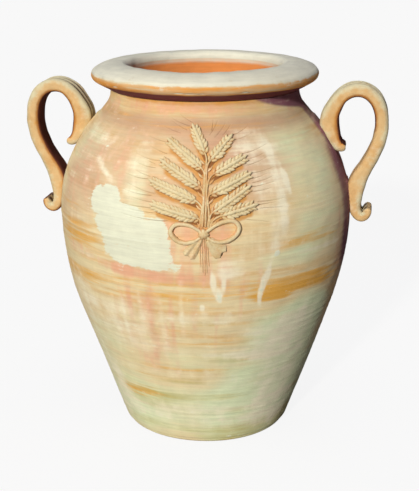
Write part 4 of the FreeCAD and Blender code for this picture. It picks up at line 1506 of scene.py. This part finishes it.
# Coats over the clay, lowest first: mark, the patterns that break it up with their weights, the
# ramp's ends, and the most that it covers. The lime's ramp is the finish's own.
LAYERS: tuple[tuple[str, dict[str, float], float, float, float], ...] = (
    ("buff", {"cloud": 0.8, "mottle": 0.6}, 0.15, 1.1, 1.0),
    ("salmon", {"cloud": 0.9, "drip": 1.4}, 0.15, 1.05, 0.85),
    ("sage", {"cloud": 0.9, "stroke": 1.3}, 0.15, 0.95, 0.92),
    ("moss", {"stroke": 1.7, "cloud": 0.7}, 0.25, 1.0, 0.85),
    ("ochre", {"stroke": 1.9, "bristle": 0.8}, 0.3, 1.0, 0.9),
    # Painted shade in dark red-purple.
    ("painted_shade", {"cloud": 0.8, "stroke": 0.5}, 0.2, 1.0, 0.9),
    ("cream", {"stroke": 2.0, "drip": 0.9, "mottle": 0.9}, 0.15, 1.15, 0.9),
    ("lime", {"mottle": 2.6, "bristle": 0.9}, 0.0, 0.0, 0.94),
    # Orange wash gathered in recesses, and painted shade under the lip and on the handles' inner
    # sides.
    ("hollow", {"mottle": 1.4}, 0.3, 1.0, 0.85),
    ("inside", {"mottle": 0.3}, 0.2, 0.8, 1.0),
    # Painted shadow under the lip, on its underside and on the handles' inner faces.
    ("crease", {"mottle": 0.3}, 0.2, 0.9, 0.95),
    # Painted shade in grooves, under the ears and on undersides.
    ("cut", {"grit": 0.2}, 0.2, 1.0, 0.8),
)


@dataclass(frozen=True)
class WashedTerracotta:
    """Fired clay brushed with ochre and lime: dry, chalky, streaked by the brush, never glossy.

    Earthenware is rough and has the usual index of refraction of fired clay, about 1.5. A pattern
    is noise, given as lumps to the metre on each axis. lime_edge is the ramp of the lime.
    """

    name: str
    sand: str = "#e6d6ac"
    peach: str = "#e0bd84"
    buff: str = "#c69c7e"
    salmon: str = "#e0a486"
    sage: str = "#deedc6"
    moss: str = "#c3b872"
    ochre: str = "#e0a63c"
    # Painted shade in dark red-purple.
    painted_shade: str = "#773a5c"
    cream: str = "#f2ecd2"
    lime: str = "#dfe4cf"
    # Orange wash gathered in recesses, also painted shade under the lip and on the handles' inner
    # sides.
    hollow: str = "#cc9040"
    # Painted shadow under the lip, on its underside and on the handles' inner faces.
    crease: str = "#66203a"
    # Painted shade in the incised hairs, under the ears, on the relief's undersides and in the
    # handles' grooves.
    cut: str = "#7c4a26"
    inside: str = "#dc8a48"
    roughness: float = 0.9
    stroke: Triple = (5.0, 5.0, 72.0)
    drip: Triple = (60.0, 60.0, 5.0)
    lime_edge: Span = (0.34, 0.66)

    def build(self) -> bpy.types.Material:
        """Lay the coats over each other, each broken up by brush strokes of a real size.

        A coat's cover is its mark, moved by its patterns about their mean of 0.5, then ramped.

        Returns:
            The material.
        """
        material = bpy.data.materials.new(self.name)
        tree = empty_tree(material)
        where = add_node(tree, "ShaderNodeTexCoord").outputs["Object"]
        # On the wall a stroke is 200 mm long and 14 mm high, a bristle's mark 45 and 3 mm, and a
        # drip 17 mm wide. Clouds are 110 mm, mottling 24 mm, and grit 1 mm, coarser than real grit
        # so that it shows.
        noise, cover = {}, {}
        for name, lumps, detail, rough in (
                ("stroke", self.stroke, 5.0, 0.62), ("drip", self.drip, 3.0, 0.55),
                ("bristle", tuple(4.4 * part for part in self.stroke), 3.0, 0.6),
                ("cloud", (9.0, 9.0, 14.0), 4.0, 0.6), ("mottle", (42.0, 42.0, 52.0), 8.0, 0.68),
                ("grit", (900.0, 900.0, 900.0), 2.0, 0.6)):
            spread = add_node(tree, "ShaderNodeMapping", {"Vector": where, "Scale": lumps})
            noise[name] = add_node(tree, "ShaderNodeTexNoise",
                                   {"Vector": spread.outputs[0], "Scale": 1.0, "Detail": detail,
                                    "Roughness": rough}).outputs["Fac"]
        tint = add_node(tree, "ShaderNodeMapRange",
                        {"Value": noise["stroke"], "From Min": 0.42, "From Max": 0.66},
                        interpolation_type="SMOOTHSTEP")
        colour = add_node(tree, "ShaderNodeMix",
                          {"Factor_Float": tint.outputs[0], "A_Color": srgb(self.sand),
                           "B_Color": srgb(self.peach)}, data_type="RGBA").outputs[2]
        for mark, breakup, *ramp, most in LAYERS:
            amount = add_node(tree, "ShaderNodeAttribute", attribute_name=mark).outputs["Fac"]
            for name, weight in breakup.items():
                amount = add_node(tree, "ShaderNodeMath", {0: noise[name], 1: weight, 2: amount},
                                  operation="MULTIPLY_ADD").outputs[0]
            low, high = self.lime_edge if mark == "lime" else ramp
            mean = 0.5 * sum(breakup.values())
            cover[mark] = add_node(tree, "ShaderNodeMapRange",
                                   {"Value": amount, "From Min": low + mean,
                                    "From Max": high + mean, "To Max": most},
                                   interpolation_type="SMOOTHSTEP").outputs[0]
            colour = add_node(tree, "ShaderNodeMix",
                              {"Factor_Float": cover[mark], "A_Color": colour,
                               "B_Color": srgb(getattr(self, mark))}, data_type="RGBA").outputs[2]
        shade, rise = noise["bristle"], noise["grit"]
        for name, weight in (("drip", 0.3), ("mottle", 0.8)):
            shade = add_node(tree, "ShaderNodeMath", {0: noise[name], 1: weight, 2: shade},
                             operation="MULTIPLY_ADD").outputs[0]
        for thick, weight in ((noise["bristle"], 0.5), (cover["lime"], 0.7)):
            rise = add_node(tree, "ShaderNodeMath", {0: thick, 1: weight, 2: rise},
                            operation="MULTIPLY_ADD").outputs[0]
        tone = add_node(tree, "ShaderNodeMapRange",
                        {"Value": shade, "From Min": 0.6, "From Max": 1.5, "To Min": 0.86,
                         "To Max": 1.14})
        toned = add_node(tree, "ShaderNodeVectorMath", {0: colour, 1: tone.outputs[0]},
                         operation="MULTIPLY")
        bump = add_node(tree, "ShaderNodeBump",
                        {"Height": rise, "Strength": 0.3, "Distance": 0.6 * MM})
        shader = add_node(tree, "ShaderNodeBsdfPrincipled",
                          {"Base Color": toned.outputs[0], "Roughness": self.roughness, "IOR": 1.5,
                           "Normal": bump.outputs[0]})
        add_node(tree, "ShaderNodeOutputMaterial", {"Surface": shader.outputs[0]})
        return material


FINISHES: tuple[WashedTerracotta, ...] = (
    WashedTerracotta("washed_terracotta"),
    WashedTerracotta("washed_terracotta_lip", sand="#dccfac", peach="#d8c49a", lime="#dbdac8",
                     sage="#c2cfd0", ochre="#e09430", lime_edge=(0.15, 0.75)),
    # The handle's orange-brown, dark and groove colours are painted shade on its inner side and in
    # its grooves.
    WashedTerracotta("washed_terracotta_handle", sand="#d8b682", peach="#cfa368", ochre="#cc9444",
                     lime="#cdc7a6", sage="#b4b99c", hollow="#b4702c", cut="#4e2426",
                     crease="#5a241c", stroke=(24.0,) * 3, drip=(24.0,) * 3, lime_edge=(0.10, 1.0)),
    # The relief's darkest colour is painted shade on its undersides; its orange gathers in the
    # recesses.
    WashedTerracotta("washed_terracotta_relief", sand="#d4b886", peach="#d3a674", ochre="#cc9450",
                     lime="#dacca4", hollow="#bf7a3c", cut="#7c4a28", stroke=(60.0,) * 3,
                     drip=(60.0,) * 3, lime_edge=(0.15, 0.95)),
)


# --- the jar

@dataclass
class Amphora:
    """The whole jar: thrown sections, lip, handles, sheaf and bow."""

    body: str = "root"

    def build(self) -> None:
        """Make every piece, give it its finish, and let it stand for its CAD node."""
        finishes = {finish.name: finish.build() for finish in FINISHES}
        base_top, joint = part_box("base_disc")[1][2] / MM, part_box("upper_wall")[0][2] / MM
        collar, lip_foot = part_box("upper_wall")[1][2] / MM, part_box("rim_lip")[0][2] / MM
        for part in (BaseSlab(), ThrownSection("lower_wall", base_top, joint, 2.3, 260, 340),
                     ThrownSection("upper_wall", joint, collar, 0.56, 190, 150, 6),
                     ThrownSection("neck_collar", collar, lip_foot, 0.62, 240, 260, 8),
                     RolledLip(), StrapHandle("handle_right", outer_arm_tint_and_shade=0.2),
                     StrapHandle("handle_left"), *map(WheatEar, EARS), StalkBundle(),
                     StalkEnds(), *BOW):
            piece = part.build()
            piece.data.materials.append(finishes[part.slot])
            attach(piece, self.body)
            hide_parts(part.node)
            LOG.info("%s: %d faces for node %s", piece.name, len(piece.data.polygons), part.node)


# --- studio

@dataclass(frozen=True)
class Lamp:
    """Far lamp that shines from an azimuth and elevation, spread over an angle."""

    name: str
    azimuth: float
    elevation: float
    strength: float
    spread: float
    colour: str

    def build(self) -> None:
        """Add the lamp to the scene."""
        light = bpy.data.lights.new(self.name, "SUN")
        light.energy, light.angle = self.strength, math.radians(self.spread)
        light.color = srgb(self.colour)[:3]
        a, e = math.radians(self.azimuth), math.radians(self.elevation)
        back = Vector((math.sin(a) * math.cos(e), -math.cos(a) * math.cos(e), math.sin(e)))
        add_to_scene(self.name, light).rotation_euler = back.to_track_quat("Z", "Y").to_euler()


@dataclass(frozen=True)
class Studio:
    """Plain pale floor, one soft key light, weak lights round it, and the camera."""

    lamps: tuple[Lamp, ...] = (
        Lamp("key", -20.0, 20.5, 3.2, 4.0, "#fffaf0"),
        Lamp("top", 0.0, 84.0, 0.92, 40.0, "#f2f4ff"),
        Lamp("left", -78.0, 8.0, 0.42, 50.0, "#fff6e8"),
        Lamp("front", 30.0, 0.0, 0.20, 60.0, "#f2e4ff"),
        Lamp("back", -162.0, 30.0, 0.35, 20.0, "#f4f6ff"))
    sky_strength: float = 0.035
    floor_half: float = 40.0
    camera_distance: float = 1.754
    camera_height: float = 0.825
    camera_tilt: float = 16.85
    camera_turn: float = -0.195
    camera_roll: float = -0.27
    lens: float = 80.65

    def floor(self) -> None:
        """Add the floor, which the camera sees as white with the jar's soft shadow on it."""
        mesh = bpy.data.meshes.new("floor")
        mesh.from_pydata([(x * self.floor_half, y * self.floor_half, 0.0) for x, y in
                          ((-1, -1), (1, -1), (1, 1), (-1, 1))], [], [(0, 1, 2, 3)])
        add_to_scene("floor", mesh)
        material = bpy.data.materials.new("pale_floor")
        mesh.materials.append(material)
        tree = empty_tree(material)
        glow = add_node(tree, "ShaderNodeEmission", {"Color": (1.0,) * 4, "Strength": 0.89})
        thin = add_node(tree, "ShaderNodeBsdfDiffuse", {"Color": srgb("#4a4a4a")})
        shown = add_node(tree, "ShaderNodeAddShader", {0: glow.outputs[0], 1: thin.outputs[0]})
        plain = add_node(tree, "ShaderNodeBsdfDiffuse", {"Color": srgb("#76716b")})
        self.for_camera(tree, plain, shown, "ShaderNodeOutputMaterial")

    def sky(self) -> None:
        """Set an even pale surround: soft fill on the jar, white where the camera sees it."""
        world = bpy.context.scene.world = bpy.data.worlds.new("surround")
        tree = empty_tree(world)
        fill = add_node(tree, "ShaderNodeBackground",
                        {"Color": srgb("#f4d0e8"), "Strength": self.sky_strength})
        white = add_node(tree, "ShaderNodeBackground", {"Color": (1.0,) * 4, "Strength": 0.95})
        self.for_camera(tree, fill, white, "ShaderNodeOutputWorld")

    def for_camera(self, tree: bpy.types.NodeTree, plain: bpy.types.Node,
                   shown: bpy.types.Node, output: str) -> None:
        """Join one shader for the camera's rays and another for the rest to the tree's output.

        Args:
            tree: the node tree.
            plain: shader for light that does not come straight to the camera.
            shown: shader for what the camera sees.
            output: kind of the output node.
        """
        seen = add_node(tree, "ShaderNodeLightPath").outputs["Is Camera Ray"]
        mix = add_node(tree, "ShaderNodeMixShader",
                       {0: seen, 1: plain.outputs[0], 2: shown.outputs[0]})
        add_node(tree, output, {"Surface": mix.outputs[0]})

    def camera(self) -> None:
        """Add the camera, in front of the jar and a little above its lip, looking down."""
        data = bpy.data.cameras.new("camera")
        data.lens, data.sensor_width, data.clip_start, data.clip_end = self.lens, 36.0, 0.05, 200.0
        camera = bpy.context.scene.camera = add_to_scene("camera", data)
        camera.location = (0.0, -self.camera_distance, self.camera_height)
        aim = Matrix.Identity(3)
        for angle, axis in ((self.camera_turn, "Z"), (90.0 - self.camera_tilt, "X"),
                            (self.camera_roll, "Z")):
            aim = aim @ Matrix.Rotation(math.radians(angle), 3, axis)
        camera.rotation_euler = aim.to_euler()

    def build(self) -> None:
        """Set up the studio."""
        bpy.context.scene.view_settings.view_transform = "Standard"
        self.camera()
        for lamp in self.lamps:
            lamp.build()
        self.floor()
        self.sky()


def main() -> None:
    """Load the frame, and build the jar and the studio."""
    logging.basicConfig(level=logging.INFO, format="%(message)s")
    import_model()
    Amphora().build()
    Studio().build()
    bpy.context.view_layer.update()


if __name__ == "__main__":
    main()
